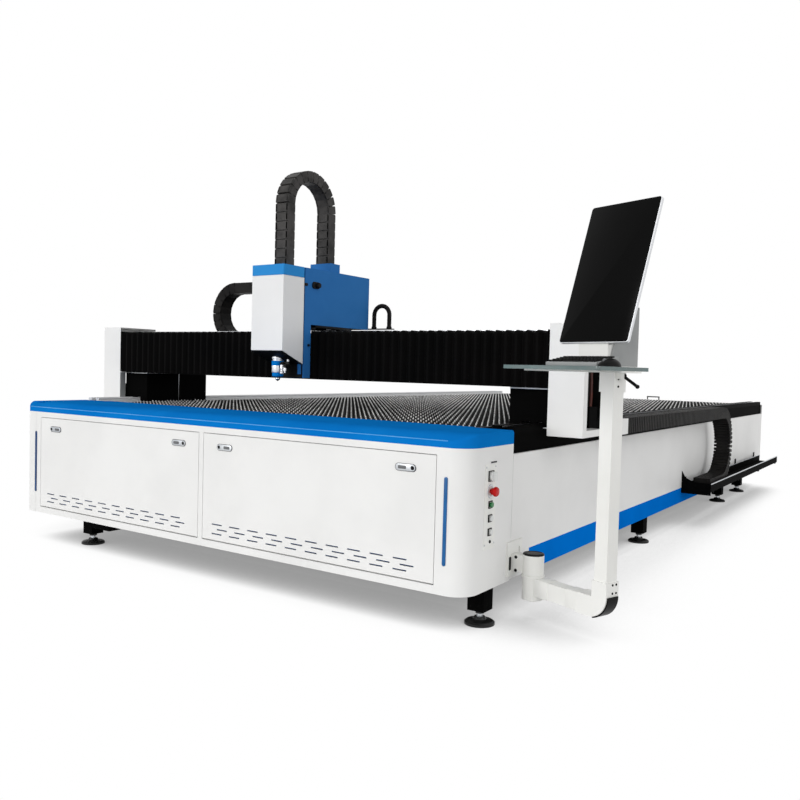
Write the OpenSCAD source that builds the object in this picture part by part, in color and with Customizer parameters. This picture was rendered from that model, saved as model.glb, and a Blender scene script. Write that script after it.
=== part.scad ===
// Open flatbed fiber laser cutting machine: bed, front cabinet, gantry, cutting head and console.
// All sizes in millimetres. +X runs to the right along the front, +Y to the rear, +Z up.
// The drawing itself uses the middle of the cabinet's front face as X 0, Y 0 and the floor as Z 0.

/* [Bed] */
// Overall length from the face to the back of the rear panel
bed_length = 6020; // [5400:10:7000]
// Width over the side panels
bed_width = 3000; // [2800:10:3300]
// Height of the underside of the cabinet above the floor
bed_bottom = 160; // [140:5:200]
// Height of the top of the rail beams
beam_top = 793; // [770:1:830]
// Width of one rail beam
rail_beam_width = 190; // [170:5:210]
// Plate thickness of the rail beams
beam_plate = 8; // [5:1:12]
// Clearance of the rail beams above the underside of the cabinet
beam_lift = 5; // [3:1:10]
// Cross tube stations along the bed
cross_stations = 9; // [5:1:11]
// Width of a cross tube
cross_width = 100; // [60:5:120]
// Height of a cross tube
cross_height = 60; // [40:5:80]
// Wall of a cross tube
cross_wall = 5; // [3:1:8]
// Distance of the outer cross tubes from the ends of the beams
cross_inset = 60; // [40:5:120]

/* [Bed panels] */
// Thickness of folded sheet
sheet = 2; // [1.5:0.5:3]
// Depth of a folded panel
panel_depth = 12; // [10:1:16]
// Height of the top edge of the side panels
panel_top = 705; // [680:5:720]
// Height of the lower edge of the side panels
panel_bottom = 270; // [250:5:300]
// Distance from the face to the front end of the skirts
skirt_front = 580; // [500:10:700]
// Inward lean of the skirts
skirt_lean = 6; // [2:1:8]
// Width of the skirts' lower lip
skirt_lip = 11; // [8:1:11]

/* [Feet] */
// Radius of a levelling pad
pad_radius = 64; // [50:1:80]
// Radius of a levelling screw
screw_radius = 12; // [8:1:16]
// Side of a square leg block
leg_side = 78; // [60:2:90]
// Height of the underside of the leg blocks
leg_bottom = 60; // [50:2:80]
// Distance of the side legs' middles from the bed's sides
leg_inset = 57; // [57:1:100]
// Distance of the first side legs from the face
side_leg_1 = 2352; // [1500:10:3000]
// Distance of the second side legs from the face
side_leg_2 = 4488; // [3800:10:4900]
// Distance of the third side legs from the face
side_leg_3 = 5255; // [5000:10:5300]
// Depth of the front right leg behind the cabinet's face
front_leg_y = 235; // [150:5:300]
// Distance of the front left leg from the bed's left side
left_leg_inset = 460; // [300:10:600]

/* [Cabinet] */
// Depth of the cabinet
cabinet_depth = 390; // [360:5:430]
// Height of the top edge of the white cabinet
cabinet_top = 750; // [735:1:760]
// Radius of the cabinet's front corners
corner_radius = 98; // [90:1:120]
// Thickness of the cabinet's walls
cabinet_wall = 3; // [2:0.5:4]
// Gap between the cabinet and the bed behind it
seam_gap = 2; // [1:0.5:4]
// Height of the vertical front band of the blue trim
trim_band = 27; // [20:1:34]
// Full height of the blue trim
trim_height = 58; // [50:1:64]
// Depth of the rounded step in the blue trim
trim_step = 60; // [40:2:80]
// Wall of the blue trim
trim_wall = 4; // [3:0.5:6]

/* [Access panels] */
// Distance of the panels' inner edges from the middle
panel_inner = 18; // [16:1:30]
// Distance of the panels' outer edges from the cabinet's sides
panel_side = 148; // [144:2:250]
// Height of the panels' lower edge
door_bottom = 200; // [195:1:230]
// Height of the panels' upper edge
door_top = 717; // [700:1:720]
// Depth of the panels' folded edges
door_depth = 18; // [16:1:24]
// Gap round a panel
door_gap = 3; // [2:0.5:4]
// Gap below a panel, where it turns
door_lower_gap = 6; // [5:0.5:8]
// Radius of a panel's hinge pins
hinge_pin_radius = 4; // [3:0.5:5]
// Height of the pins above the panel's lower edge, and behind its face
hinge_inset = 9; // [8:0.5:10]
// Depth of the lips round the panel openings
lip_depth = 24; // [22:1:30]
// Distance of the latches from the panel's side edges
latch_inset = 145; // [120:5:180]
// Height of the latches
latch_z = 656; // [640:1:665]
// Length of a latch plate
latch_length = 100; // [80:2:120]
// Height of a latch plate
latch_height = 29; // [24:1:36]
// Radius of the latch barrel
barrel_radius = 8; // [6:0.5:10]
// Reach of the latch's cam from the barrel's axis
cam_reach = 80; // [75:1:90]
// Louvres in one row
louvre_count = 10; // [6:1:11]
// Pitch of the louvres
louvre_pitch = 119; // [110:1:120]
// Length of one louvre slit
louvre_length = 68; // [50:1:80]
// Height of one louvre slit
louvre_slit = 6; // [4:0.5:8]
// Height of the lowest louvre row
louvre_z = 231; // [225:1:240]
// Spacing of the louvre rows
louvre_rise = 23; // [18:1:26]
// Distance of the first louvre from the panel's left edge
louvre_inset = 66; // [50:1:80]
// Sideways shift of the middle row
louvre_shift = 35; // [20:1:50]

/* [Controls] */
// Distance of the controls from the face
control_y = 185; // [178:1:220]
// Width of the control plate
control_width = 96; // [80:2:110]
// Height of the control plate's lower edge
control_bottom = 330; // [310:5:345]
// Height of the control plate's upper edge
control_top = 680; // [670:5:700]
// Thickness of the control plate
control_plate_thickness = 2; // [1.5:0.5:3]
// Height of the power switch
switch_z = 631; // [628:1:636]
// Height of the emergency stop
estop_z = 569; // [564:1:572]
// Height of the upper push button
button_z = 514; // [508:1:518]
// Spacing of the push buttons
button_pitch = 56; // [50:1:60]
// Radius of the emergency stop's head
estop_radius = 20; // [18:0.5:22]
// Radius of a push button
button_radius = 11; // [9:0.5:12]
// Radius of the power switch's knob
switch_radius = 19; // [16:0.5:22]
// Running clearance of a stem in its hole
stem_gap = 0.1; // [0.05:0.01:0.1]

/* [Cabinet contents] */
// Distance of the mounting plate from the face
gear_plate_y = 300; // [260:5:330]
// Thickness of the mounting plate
gear_plate_thickness = 4; // [3:0.5:6]
// Height of the mounting plate's lower edge
gear_plate_bottom = 210; // [200:5:240]
// Height of the mounting plate's upper edge
gear_plate_top = 690; // [640:5:700]
// Servo drives in a row
drive_count = 4; // [3:1:6]
// Width of a servo drive
drive_width = 70; // [50:2:90]
// Height of a servo drive
drive_height = 190; // [160:5:220]
// Depth of a servo drive
drive_depth = 150; // [120:5:170]
// Width of the laser source
source_width = 480; // [420:10:520]
// Height of the laser source
source_height = 180; // [150:5:220]
// Depth of the laser source
source_depth = 240; // [180:5:250]

/* [Slat table] */
// Gap between the table's side bars and the rail beams
table_gap = 28; // [18:1:98]
// Height of the underside of the table
table_bottom = 700; // [690:1:710]
// Height of the table's bars
table_bar_height = 100; // [96:1:104]
// Thickness of the table's bars
table_bar = 8; // [6:1:12]
// Distance of the table's front end from the face
table_front = 425; // [410:5:440]
// Distance of the table's rear end from the bed's rear end
table_rear_gap = 120; // [80:5:200]
// Pitch of the slats
slat_pitch = 120; // [110:5:160]
// Thickness of a slat
slat_thickness = 4; // [3:0.5:6]
// Height of a slat
slat_height = 90; // [86:1:96]
// Depth of the slots that hold the slats
slot_depth = 80; // [60:1:84]
// Side clearance of a slat in its slot
slot_gap = 0.3; // [0.2:0.05:0.6]
// Depth of the slats' teeth
tooth_depth = 40; // [30:1:50]
// Teeth on one slat
tooth_count = 28; // [20:1:29]
// Width of a lifting handle
handle_width = 120; // [100:5:150]
// Height of a lifting handle
handle_height = 32; // [26:1:40]
// Distance of the lifting handles from the middle
handle_x = 446; // [300:2:700]
// Radius of the handle's rod
handle_rod = 6; // [4:0.5:8]
// Depth of the slag pan
pan_depth = 40; // [30:2:60]

/* [Guides] */
// Width of a long rail
rail_width = 34; // [30:1:38]
// Height of a long rail
rail_height = 30; // [26:1:30]
// Distance of the long rails from the beams' outer faces
rail_inset = 88; // [86:1:96]
// Width and height of a rack
rack_side = 30; // [24:1:30]
// Distance of the guides' ends from the ends of the beams
guide_inset = 18; // [10:1:30]
// Width of a cross rail
cross_rail_width = 23; // [20:1:26]
// Height of a cross rail
cross_rail_height = 28; // [24:1:28]
// Clearance of a bearing block round its rail
block_gap = 1; // [0.5:0.1:1.5]

/* [Gantry] */
// Distance of the gantry's front from the face
gantry_front = 672; // [640:1:700]
// Distance of the gantry feet's inner faces from the beams' inner faces
foot_step = 15; // [7:1:20]
// Overhang of the gantry feet past the bed's sides
foot_overhang = 26; // [20:1:35]
// Length of a gantry foot along the bed
foot_length = 510; // [480:2:540]
// Distance of a foot's front behind the gantry's front
foot_setback = 48; // [40:1:60]
// Wall of a gantry foot
foot_wall = 14; // [10:1:16]
// Clearance of the feet above the rail beams
foot_gap = 5; // [4:1:8]
// Height of the top of the feet
foot_top = 987; // [970:1:1000]
// Depth of the cross beam
cross_beam_depth = 260; // [240:5:280]
// Height of the cross beam
cross_beam_height = 251; // [240:1:270]
// Space in front of the beam for the guides and the bellows
bellows_space = 68; // [66:1:74]
// Gap between the end of the cross beam and the end cover
beam_end_gap = 6; // [4:1:10]
// Radius over the teeth of a gantry pinion
pinion_radius = 35; // [30:0.5:38]
// Width of a gantry pinion
pinion_width = 26; // [20:1:26]
// Teeth on a pinion
pinion_teeth = 20; // [16:1:24]
// Clearance of a pinion from its rack
mesh_gap = 0.3; // [0.2:0.05:0.6]
// Distance of the gantry drives from the gantry's front
drive_offset = 143; // [130:1:156]

/* [End covers] */
// Width of an end cover
end_cover_width = 171; // [164:1:194]
// Length of an end cover along the bed
cover_length = 286; // [270:2:300]
// Height of the underside of the end covers
cover_bottom = 770; // [760:1:780]
// Height of the top of the end covers
cover_top = 1282; // [1265:1:1320]
// Width of the rim round an end cover's side opening
cover_rim = 45; // [30:1:60]

/* [Bellows] */
// Pleats in one bellows
pleat_count = 34; // [20:1:40]
// Depth of the pleats on the front
pleat_depth = 18; // [14:1:20]
// Depth of the pleats on the top
pleat_rise = 10; // [6:1:12]
// Thickness of the bellows' skin
bellows_skin = 1.5; // [1:0.25:2]
// Depth of the bellows' top leaf
bellows_top_depth = 263; // [240:1:265]

/* [Carriage] */
// Sideways position of the carriage
head_x = 12; // [0:1:20]
// Width of the carriage
carriage_width = 225; // [220:1:240]
// Thickness of the carriage plate
carriage_plate_thickness = 54; // [46:1:54]
// Gap between the carriage plate and the bellows
carriage_gap = 12; // [10:1:16]
// Height of the carriage plate's lower edge
carriage_bottom = 993; // [985:1:1000]
// Height of the carriage plate's upper edge
carriage_top = 1591; // [1580:1:1600]
// Distance of the rear of the carriage's box behind the gantry's front
box_rear = 518; // [500:1:540]
// Height of the lower edge of the carriage's box
box_bottom = 1285; // [1280:1:1290]
// Height of the top of the carriage's box
box_top = 1592; // [1586:1:1620]
// Radius over the teeth of the carriage pinion
small_pinion_radius = 30; // [26:0.5:32]
// Width of the chain's connector box
connector_width = 150; // [120:2:170]
// Depth of the chain's connector box
connector_depth = 84; // [76:1:100]
// Height of the chain's connector box
connector_height = 55; // [40:1:70]

/* [Cutting head] */
// Depth of the head's cover
cover_depth = 165; // [160:1:170]
// Gap between the head's cover and the carriage plate
head_gap = 8; // [6:0.5:9]
// Height of the cover's lower front edge
head_cover_bottom = 1137; // [1120:1:1138]
// Height of the cover's lower rear edge
head_cover_low = 1069; // [1060:1:1075]
// Height of the cover's top
head_cover_top = 1535; // [1525:1:1545]
// Height of the blue cap
cap_height = 56; // [45:1:65]
// Overhang of the cap round the cover
cap_lip = 2; // [1:0.5:2]
// Height of the nozzle's tip
nozzle_z = 973; // [965:1:990]
// Radius of the cutting head's barrel
head_radius = 32; // [28:0.5:34]
// Distance of the cutting head's axis from the carriage plate
head_axis = 71; // [70:1:74]
// Radius of the lifting screw
lift_screw_radius = 8; // [6:0.5:9]
// Running clearance of the lifting screw
lift_screw_gap = 0.05; // [0.02:0.01:0.1]

/* [Long chain] */
// Width of the long chain
long_chain_width = 115; // [100:1:125]
// Height of the long chain's links
long_chain_height = 80; // [70:1:84]
// Pitch of the long chain's links
long_chain_pitch = 60; // [50:1:80]
// Distance of the long chain's middle from the bed's side
long_chain_offset = 122; // [118:1:126]
// Reach of the chain's flange behind the gantry's front
flange_reach = 668; // [640:2:700]
// Height of the top of the long chain
long_chain_top = 835; // [820:1:850]
// Distance of the middle of the chain's bend from the face
long_bend_y = 3543; // [3400:1:3700]
// Length of the chain's lower run
long_lower_run = 378; // [300:1:400]
// Width of the chain's tray
tray_width = 160; // [150:1:170]
// Distance of the tray's front end from the face
tray_front = 3110; // [3050:5:3140]
// Distance of the tray's rear end from the face
tray_rear = 5760; // [5400:10:5900]
// Height of the tray's underside
tray_bottom = 255; // [245:1:260]
// Height of the tray's walls
tray_wall_height = 60; // [50:1:70]
// Thickness of the tray
tray_plate = 3; // [2:0.5:4]
// Height of the tray's front gusset
gusset_top = 390; // [360:1:420]

/* [Short chains] */
// Width of the cross chain
cross_chain_width = 100; // [90:1:110]
// Height of the cross chain's links
cross_chain_height = 66; // [60:1:68]
// Pitch of the cross chain's links
cross_chain_pitch = 50; // [40:1:60]
// Height of the top of the cross chain
cross_chain_top = 1586; // [1575:1:1586]
// Height of the shelf that carries the cross chain
shelf_top = 1192; // [1188:1:1194]
// Distance of the middle of the cross chain's bend from the middle
cross_bend_x = -845; // [-900:5:-800]
// Right-hand end of the cross chain's lower run
cross_anchor_x = 60; // [0:5:80]
// Width of the lifting chain
lift_chain_width = 88; // [70:1:96]
// Height of the lifting chain's links
lift_chain_height = 60; // [50:1:62]
// Pitch of the lifting chain's links
lift_chain_pitch = 46; // [40:1:56]
// Height of the top of the lifting chain's loop
loop_top = 2141; // [2080:1:2160]
// Distance of the front leg of the loop from the carriage plate's front
loop_front = 46; // [44:1:50]
// Radius of the small hose loop
hose_loop_radius = 55; // [50:1:68]
// Height of the hose loop's legs
hose_leg = 73; // [60:1:90]
// Radius of the hose
hose_radius = 14; // [10:0.5:16]

/* [Console] */
// Distance of the console's hinge from the cabinet's side
hinge_offset = 100; // [90:1:130]
// Distance of the console's hinge from the face
hinge_y = 410; // [400:1:440]
// Turn of the console about its hinge
console_turn = -20; // [-40:1:0]
// Radius of the hinge knuckles
knuckle_radius = 45; // [38:1:50]
// Radius of the hinge pin
hinge_radius = 15; // [12:0.5:18]
// Height of the lower end of the lower knuckle
knuckle_bottom = 95; // [90:1:105]
// Height where the two knuckles meet
knuckle_middle = 200; // [198:1:206]
// Height of the top of the upper knuckle
knuckle_top = 284; // [275:1:300]
// Distance from the hinge to the post
post_x = 385; // [360:1:420]
// Side of the square post
post_side = 60; // [50:1:64]
// Height of the arm's underside
arm_bottom = 120; // [112:1:124]
// Height of the arm's tube
arm_height = 70; // [60:1:72]
// Thickness of the elbow's cheeks round the tubes
elbow_cheek = 6; // [4:0.5:8]
// Outer radius of the elbow
elbow_radius = 90; // [70:1:100]
// Thickness of the elbow's cap
elbow_cap_thickness = 6; // [4:0.5:8]
// Height of the tray's underside above the floor
desk_bottom = 1070; // [1060:1:1090]
// Thickness of the tray's glass
desk_glass = 14; // [10:1:16]
// Left edge of the tray, from the hinge
desk_left = 130; // [120:1:150]
// Right edge of the tray, from the hinge
desk_right = 600; // [590:1:600]
// Front edge of the tray, from the hinge
desk_front = -340; // [-350:1:-330]
// Rear edge of the tray, from the hinge
desk_rear = -60; // [-66:1:-60]
// Radius of the tray's corners
desk_corner = 14; // [10:1:20]

/* [Monitor and desk] */
// Width of the monitor
monitor_width = 325; // [310:1:335]
// Height of the monitor
monitor_height = 560; // [520:1:590]
// Thickness of the monitor
monitor_thickness = 42; // [34:1:46]
// Lean of the monitor
monitor_lean = 17.2; // [10:0.2:22]
// Distance of the monitor's middle from the hinge
monitor_x = 385; // [375:1:395]
// Distance of the monitor's lower front edge from the post
monitor_y = -128; // [-134:1:-122]
// Height of the monitor's lower edge
monitor_z = 1183; // [1176:1:1190]
// Radius of the monitor's corners
monitor_corner = 12; // [8:1:16]
// Width of the monitor's stand
stand_width = 138; // [120:2:160]
// Distance of the stand's rear plate behind the post's middle
stand_rear = 56; // [40:1:60]
// Thickness of the stand's sheet
stand_sheet = 4; // [3:0.5:6]
// Length of the keyboard
keyboard_length = 245; // [220:1:250]
// Depth of the keyboard
keyboard_depth = 120; // [100:1:130]
// Length of the mouse
mouse_length = 100; // [90:1:104]

/* [Hidden] */
$fn = 48;

// Paint and material colours
white_paint = [0.93, 0.94, 0.94];
blue_paint = [0.05, 0.36, 0.75];
black_paint = [0.05, 0.05, 0.05];
steel = [0.62, 0.63, 0.65];
grey_plastic = [0.35, 0.36, 0.37];

// Bed
half_width = bed_width / 2;
beam_out = half_width - panel_depth;
beam_in = beam_out - rail_beam_width;
beam_bottom = bed_bottom + beam_lift;
beam_front = cabinet_depth + seam_gap;
beam_rear = bed_length - panel_depth;
leg_x = half_width - leg_inset;
left_leg_x = half_width - left_leg_inset;
cross_first = beam_front + cross_inset;
cross_last = beam_rear - cross_inset - cross_width;
cross_pitch = (cross_last - cross_first) / (cross_stations - 1);
lower_cross_top = beam_bottom + sheet + cross_height;
side_legs = [side_leg_1, side_leg_2, side_leg_3];
left_leg_y = leg_side / 2 + corner_radius;

// Cabinet
panel_outer = half_width - panel_side;
louvres = min(
  louvre_count,
  floor((panel_outer - panel_inner - 2 * louvre_inset - louvre_length) / louvre_pitch) + 1
);
trim_top = cabinet_top + trim_height;
door_height = door_top - door_bottom;
door_centre = (panel_inner + panel_outer) / 2;
latch_places = [
  -panel_outer + latch_inset, -panel_inner - latch_inset,
  panel_inner + latch_inset, panel_outer - latch_inset
];
barrel_offset = latch_length / 2 - latch_height / 2;
cam_y = lip_depth + 2;
cam_thickness = 3;
cam_width = 18;

// Controls
control_x = half_width + control_plate_thickness;
stem_radius = 9;
button_places = [for (i = [0:2]) button_z - i * button_pitch];

// Table
table_width = 2 * (beam_in - table_gap);
table_rear = bed_length - table_rear_gap;
table_top = table_bottom + table_bar_height;
slat_bottom = table_top - slot_depth;
slat_first = table_front + slat_pitch / 2;
slat_count = floor((table_rear - slat_first - slat_pitch / 4) / slat_pitch) + 1;
slat_length = table_width + 2 * slat_thickness;
slat_top = slat_bottom + slat_height;

// Guides and gantry
rail_x = beam_out - rail_inset;
foot_inner = beam_in + foot_step;
foot_outer = half_width + foot_overhang;
cover_outer = foot_outer + end_cover_width;
rail_top = beam_top + rail_height;
rack_top = beam_top + rack_side;
guide_front = beam_front + guide_inset;
guide_rear = beam_rear - guide_inset;
foot_bottom = beam_top + foot_gap;
foot_front = gantry_front + foot_setback;
foot_rear = foot_front + foot_length;
block_top = rail_top + 30;
block_length = 100;
base_plate = 17;
pinion_z = rack_top + mesh_gap + pinion_radius;
pinion_y = gantry_front + drive_offset;
pinion_out = beam_out - 2;
motor_plate_in = beam_out + 2;
motor_plate_out = motor_plate_in + foot_wall;
shaft_radius = 10;
shaft_gap = 0.05;
gear_box_length = 76;
cross_beam_front = gantry_front + bellows_space;
cross_beam_rear = cross_beam_front + cross_beam_depth;
cross_beam_top = foot_top + cross_beam_height;
cross_beam_end = foot_outer - beam_end_gap;
bellows_top = cross_beam_top + pleat_rise + bellows_skin + 2.5;
beam_strip = 4;
cover_rear = gantry_front + cover_length;
cross_rail_low = foot_top + 53;
cross_rail_high = cross_beam_top - 50;
cross_rail_front = cross_beam_front - cross_rail_height;
cross_rack_y = cross_beam_rear - 50;
cross_rack_top = cross_beam_top + rack_side;

// Carriage and cutting head
carriage_half = carriage_width / 2;
plate_front = gantry_front - carriage_gap - carriage_plate_thickness;
plate_back = plate_front + carriage_plate_thickness;
box_back = gantry_front + box_rear;
block_half = 40;
cross_block_front = cross_rail_front - 15;
block_spread = carriage_half - block_half - 8;
small_pinion_z = cross_rack_top + mesh_gap + small_pinion_radius;
small_shaft = 8;
drive_plate_y = cross_rack_y + pinion_width + 3;
drive_plate = 5;
lift_screw_x = head_x + 60;
lift_screw_y = plate_front - 65;
lift_bracket_z = 1285;
lift_bracket = 10;
head_cover_rear = plate_front - head_gap;
head_cover_front = head_cover_rear - cover_depth;
head_axis_x = head_x - 8;
head_axis_y = plate_front - head_axis;
slide_rail = 15;
slide_rail_x = carriage_half - 22;
slide_plate_back = plate_front - 25;
slide_plate_front = slide_plate_back - 12;
shelf_z = 1140;
shelf_thickness = 10;
cap_top = head_cover_top + cap_height;

// Chains
long_chain_x = half_width + long_chain_offset;
long_radius = (long_chain_top - tray_bottom - tray_plate - 4 - long_chain_height) / 2;
long_bend_z = long_chain_top - long_chain_height / 2 - long_radius;
flange_rear = gantry_front + flange_reach;
long_upper_run = long_bend_y - flange_rear;
tray_in = long_chain_x - tray_width / 2 - 2;
tray_out = tray_in + tray_width;
cross_chain_y = cross_beam_rear + 80;
cross_radius = (cross_chain_top - shelf_top - 6 - cross_chain_height) / 2;
cross_bend_z = cross_chain_top - cross_chain_height / 2 - cross_radius;
cross_upper_run = head_x - carriage_half - cross_bend_x;
cross_lower_run = cross_anchor_x - cross_bend_x;
connector_y = gantry_front + 236;
loop_y1 = plate_front - loop_front;
loop_radius = (connector_y - loop_y1) / 2;
link_proud = 3;
loop_bend_z = loop_top - link_proud - lift_chain_height / 2 - loop_radius;
hose_x = head_x + 196;
hose_y = box_back + 21;
hose_bracket_z = box_bottom + 3;

// Console
hinge_x = half_width + hinge_offset;
arm_top = arm_bottom + arm_height;
desk_top = desk_bottom + desk_glass;
elbow_bottom = arm_bottom - elbow_cheek;
lever_x = post_x + post_side / 2 + 18;
lever_z = desk_bottom - 18;
elbow_out = post_x + post_side / 2 + elbow_cheek;

// Middle of the whole outline, which becomes the origin
monitor_back = monitor_y + monitor_thickness * cos(monitor_lean)
  + (monitor_height - monitor_corner) * sin(monitor_lean);
monitor_side = monitor_x + monitor_width / 2 - monitor_corner;
corner_reach = norm([cos(console_turn), sin(monitor_lean) * sin(console_turn)]);
x_max = hinge_x + monitor_side * cos(console_turn) - monitor_back * sin(console_turn)
  + monitor_corner * corner_reach;
x_min = -cover_outer;
y_min = hinge_y + (desk_right - desk_corner) * sin(console_turn)
  + (desk_front + desk_corner) * cos(console_turn) - desk_corner;
y_max = bed_length;
x_mid = (x_min + x_max) / 2;
y_mid = (y_min + y_max) / 2;

// Shapes that are used more than once

module centred() {
  translate([-x_mid, -y_mid, 0]) children();
}

module both_sides() {
  children();
  mirror([1, 0, 0]) children();
}

module span(low, high) {
  translate(low) cube(high - low);
}

module hollow_span(low, high, wall) {
  difference() {
    span(low, high);
    span(low + [wall, wall, wall], high - [wall, wall, wall]);
  }
}

module rod_x(x0, x1, y, z, r) {
  translate([x0, y, z]) rotate([0, 90, 0]) cylinder(r = r, h = x1 - x0);
}

module rod_y(y0, y1, x, z, r) {
  translate([x, y0, z]) rotate([-90, 0, 0]) cylinder(r = r, h = y1 - y0);
}

module rod_z(z0, z1, x, y, r) {
  translate([x, y, z0]) cylinder(r = r, h = z1 - z0);
}

module round_plate(w, d, r) {
  translate([-w / 2 + r, -d / 2]) square([w - 2 * r, d]);
  translate([-w / 2, -d / 2 + r]) square([w, d - 2 * r]);
  for (x = [-1, 1], y = [-1, 1]) translate([x * (w / 2 - r), y * (d / 2 - r)]) circle(r);
}

// Section of a profiled rail, standing on its base
module rail_section(w, h) {
  polygon([
    [-w / 2, 0], [w / 2, 0], [w / 2, h * 0.45], [w * 0.38, h * 0.55], [w * 0.38, h * 0.7],
    [w / 2, h * 0.8], [w / 2, h], [-w / 2, h], [-w / 2, h * 0.8], [-w * 0.38, h * 0.7],
    [-w * 0.38, h * 0.55], [-w / 2, h * 0.45]
  ]);
}

// Gear blank with straight-sided teeth
module gear(radius, teeth, width) {
  root = radius * 0.86;
  step = 360 / teeth;
  points = [
    for (i = [0 : teeth - 1], c = [[root, -0.32], [radius, -0.14], [radius, 0.14], [root, 0.32]])
      c[0] * [cos((i + c[1]) * step), sin((i + c[1]) * step)]
  ];
  linear_extrude(width) polygon(points);
}

// Energy chain in its own plane: the bend's middle is the origin, both runs go towards -X
module energy_chain(upper, lower, radius, width, height, pitch) {
  core = 2 * link_proud;
  bend_links = round(PI * radius / pitch);
  link_length = pitch - 12;
  for (run = [[upper, 1], [lower, -1]]) {
    links = floor(run[0] / pitch);
    y = run[1] * radius;
    translate([-run[0], y - height / 2 + link_proud, -width / 2 + link_proud])
      cube([run[0], height - core, width - core]);
    for (i = [0 : links - 1])
      translate([-run[0] + i * pitch, y - height / 2 - link_proud / 2, -width / 2])
        cube([link_length, height + link_proud, width]);
  }
  translate([0, 0, -width / 2 + link_proud])
    rotate([0, 0, -90])
      rotate_extrude(angle = 180)
        translate([radius - height / 2 + link_proud, 0]) square([height - core, width - core]);
  for (i = [0 : bend_links - 1])
    rotate([0, 0, -90 + (i + 0.5) * 180 / bend_links])
      translate([radius - height / 2 - link_proud / 2, -link_length / 2 * 0.8, -width / 2])
        cube([height + link_proud, link_length * 0.8, width]);
}

// Bed

module bed_beams() {
  color(black_paint)
    both_sides()
      hollow_span(
        [beam_in, beam_front, beam_bottom], [beam_out, beam_rear, beam_top], beam_plate
      );
}

module cross_tube(y, z) {
  difference() {
    span([-beam_in, y, z], [beam_in, y + cross_width, z + cross_height]);
    span(
      [-beam_in - 1, y + cross_wall, z + cross_wall],
      [beam_in + 1, y + cross_width - cross_wall, z + cross_height - cross_wall]
    );
  }
}

module cross_members() {
  color(black_paint)
    for (i = [0 : cross_stations - 1]) {
      cross_tube(cross_first + i * cross_pitch, table_bottom - cross_height);
      cross_tube(cross_first + i * cross_pitch, beam_bottom + sheet);
    }
}

// Places of the legs, with the height of what stands on each
leg_places = concat(
  [for (y = side_legs, side = [-1, 1]) [side * leg_x, y, beam_bottom]],
  [[leg_x, front_leg_y, bed_bottom], [-left_leg_x, left_leg_y, bed_bottom]]
);

module leg_blocks() {
  half = leg_side / 2;
  color(black_paint)
    for (p = leg_places)
      difference() {
        span([p[0] - half, p[1] - half, leg_bottom], [p[0] + half, p[1] + half, p[2]]);
        rod_z(leg_bottom - 1, leg_bottom + 50, p[0], p[1], screw_radius + stem_gap);
      }
}

module levelling_feet() {
  pad = [
    [0, 0], [pad_radius, 0], [pad_radius, 10], [pad_radius - 8, 16], [2.4 * screw_radius, 22],
    [1.9 * screw_radius, 32], [screw_radius, 32], [screw_radius, leg_bottom + 40],
    [0, leg_bottom + 40]
  ];
  color(grey_plastic)
    for (p = leg_places) {
      translate([p[0], p[1], 0]) rotate_extrude() polygon(pad);
      translate([p[0], p[1], leg_bottom - 14]) cylinder(r = 1.7 * screw_radius, h = 14, $fn = 6);
    }
}

// Side panel as a block, from one inset to the other
module side_panel_block(inset, depth) {
  span(
    [half_width - panel_depth - depth, beam_front + inset, panel_bottom + inset],
    [half_width - inset, beam_rear - 1 - inset, panel_top - inset]
  );
  span(
    [half_width - panel_depth - depth, beam_front + inset, beam_bottom + inset],
    [half_width - inset, skirt_front - seam_gap - inset, panel_bottom + 3 * inset]
  );
}

module bed_panels() {
  color(white_paint) {
    both_sides()
      difference() {
        side_panel_block(0, 0);
        side_panel_block(sheet, 1);
      }
    difference() {
      span([-half_width, beam_rear, beam_bottom], [half_width, bed_length, beam_top]);
      span(
        [-half_width + sheet, beam_rear - 1, beam_bottom + sheet],
        [half_width - sheet, bed_length - sheet, beam_top - sheet]
      );
    }
  }
}

module skirts() {
  top = half_width;
  low = half_width - skirt_lean;
  under = beam_bottom - sheet;
  section = [
    [top, panel_bottom], [low, under], [low - skirt_lip, under], [low - skirt_lip, beam_bottom],
    [low - sheet, beam_bottom], [top - sheet, panel_bottom]
  ];
  color(blue_paint)
    both_sides()
      translate([0, beam_rear, 0])
        rotate([90, 0, 0])
          linear_extrude(beam_rear - skirt_front) polygon(section);
}

// Plan of the cabinet with rounded front corners
module cabinet_plan(inset) {
  r = corner_radius;
  w = half_width - r;
  translate([-half_width + inset, r])
    square([2 * (half_width - inset), cabinet_depth - r - inset]);
  translate([-w, inset]) square([2 * w, r]);
  for (side = [-1, 1]) translate([side * w, r]) circle(r - inset);
}

module door_opening(x0, x1, grow, y0, y1) {
  span(
    [x0 - door_gap - grow, y0, door_bottom - door_lower_gap - grow],
    [x1 + door_gap + grow, y1, door_top + door_gap + grow]
  );
}

module front_cabinet() {
  pin_z = door_bottom + hinge_inset;
  color(white_paint)
    difference() {
      union() {
        difference() {
          translate([0, 0, bed_bottom])
            linear_extrude(cabinet_top - bed_bottom) cabinet_plan(0);
          translate([0, 0, bed_bottom + cabinet_wall])
            linear_extrude(cabinet_top - bed_bottom) cabinet_plan(cabinet_wall);
        }
        both_sides() door_opening(panel_inner, panel_outer, cabinet_wall, 0, lip_depth);
      }
      both_sides() {
        door_opening(panel_inner, panel_outer, 0, -1, lip_depth + 1);
        rod_x(
          panel_inner - door_gap - cabinet_wall - 1, panel_outer + door_gap + cabinet_wall + 1,
          hinge_inset, pin_z, hinge_pin_radius + stem_gap
        );
      }
      control_holes(half_width - cabinet_wall - 1, half_width + 1);
    }
}

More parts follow.
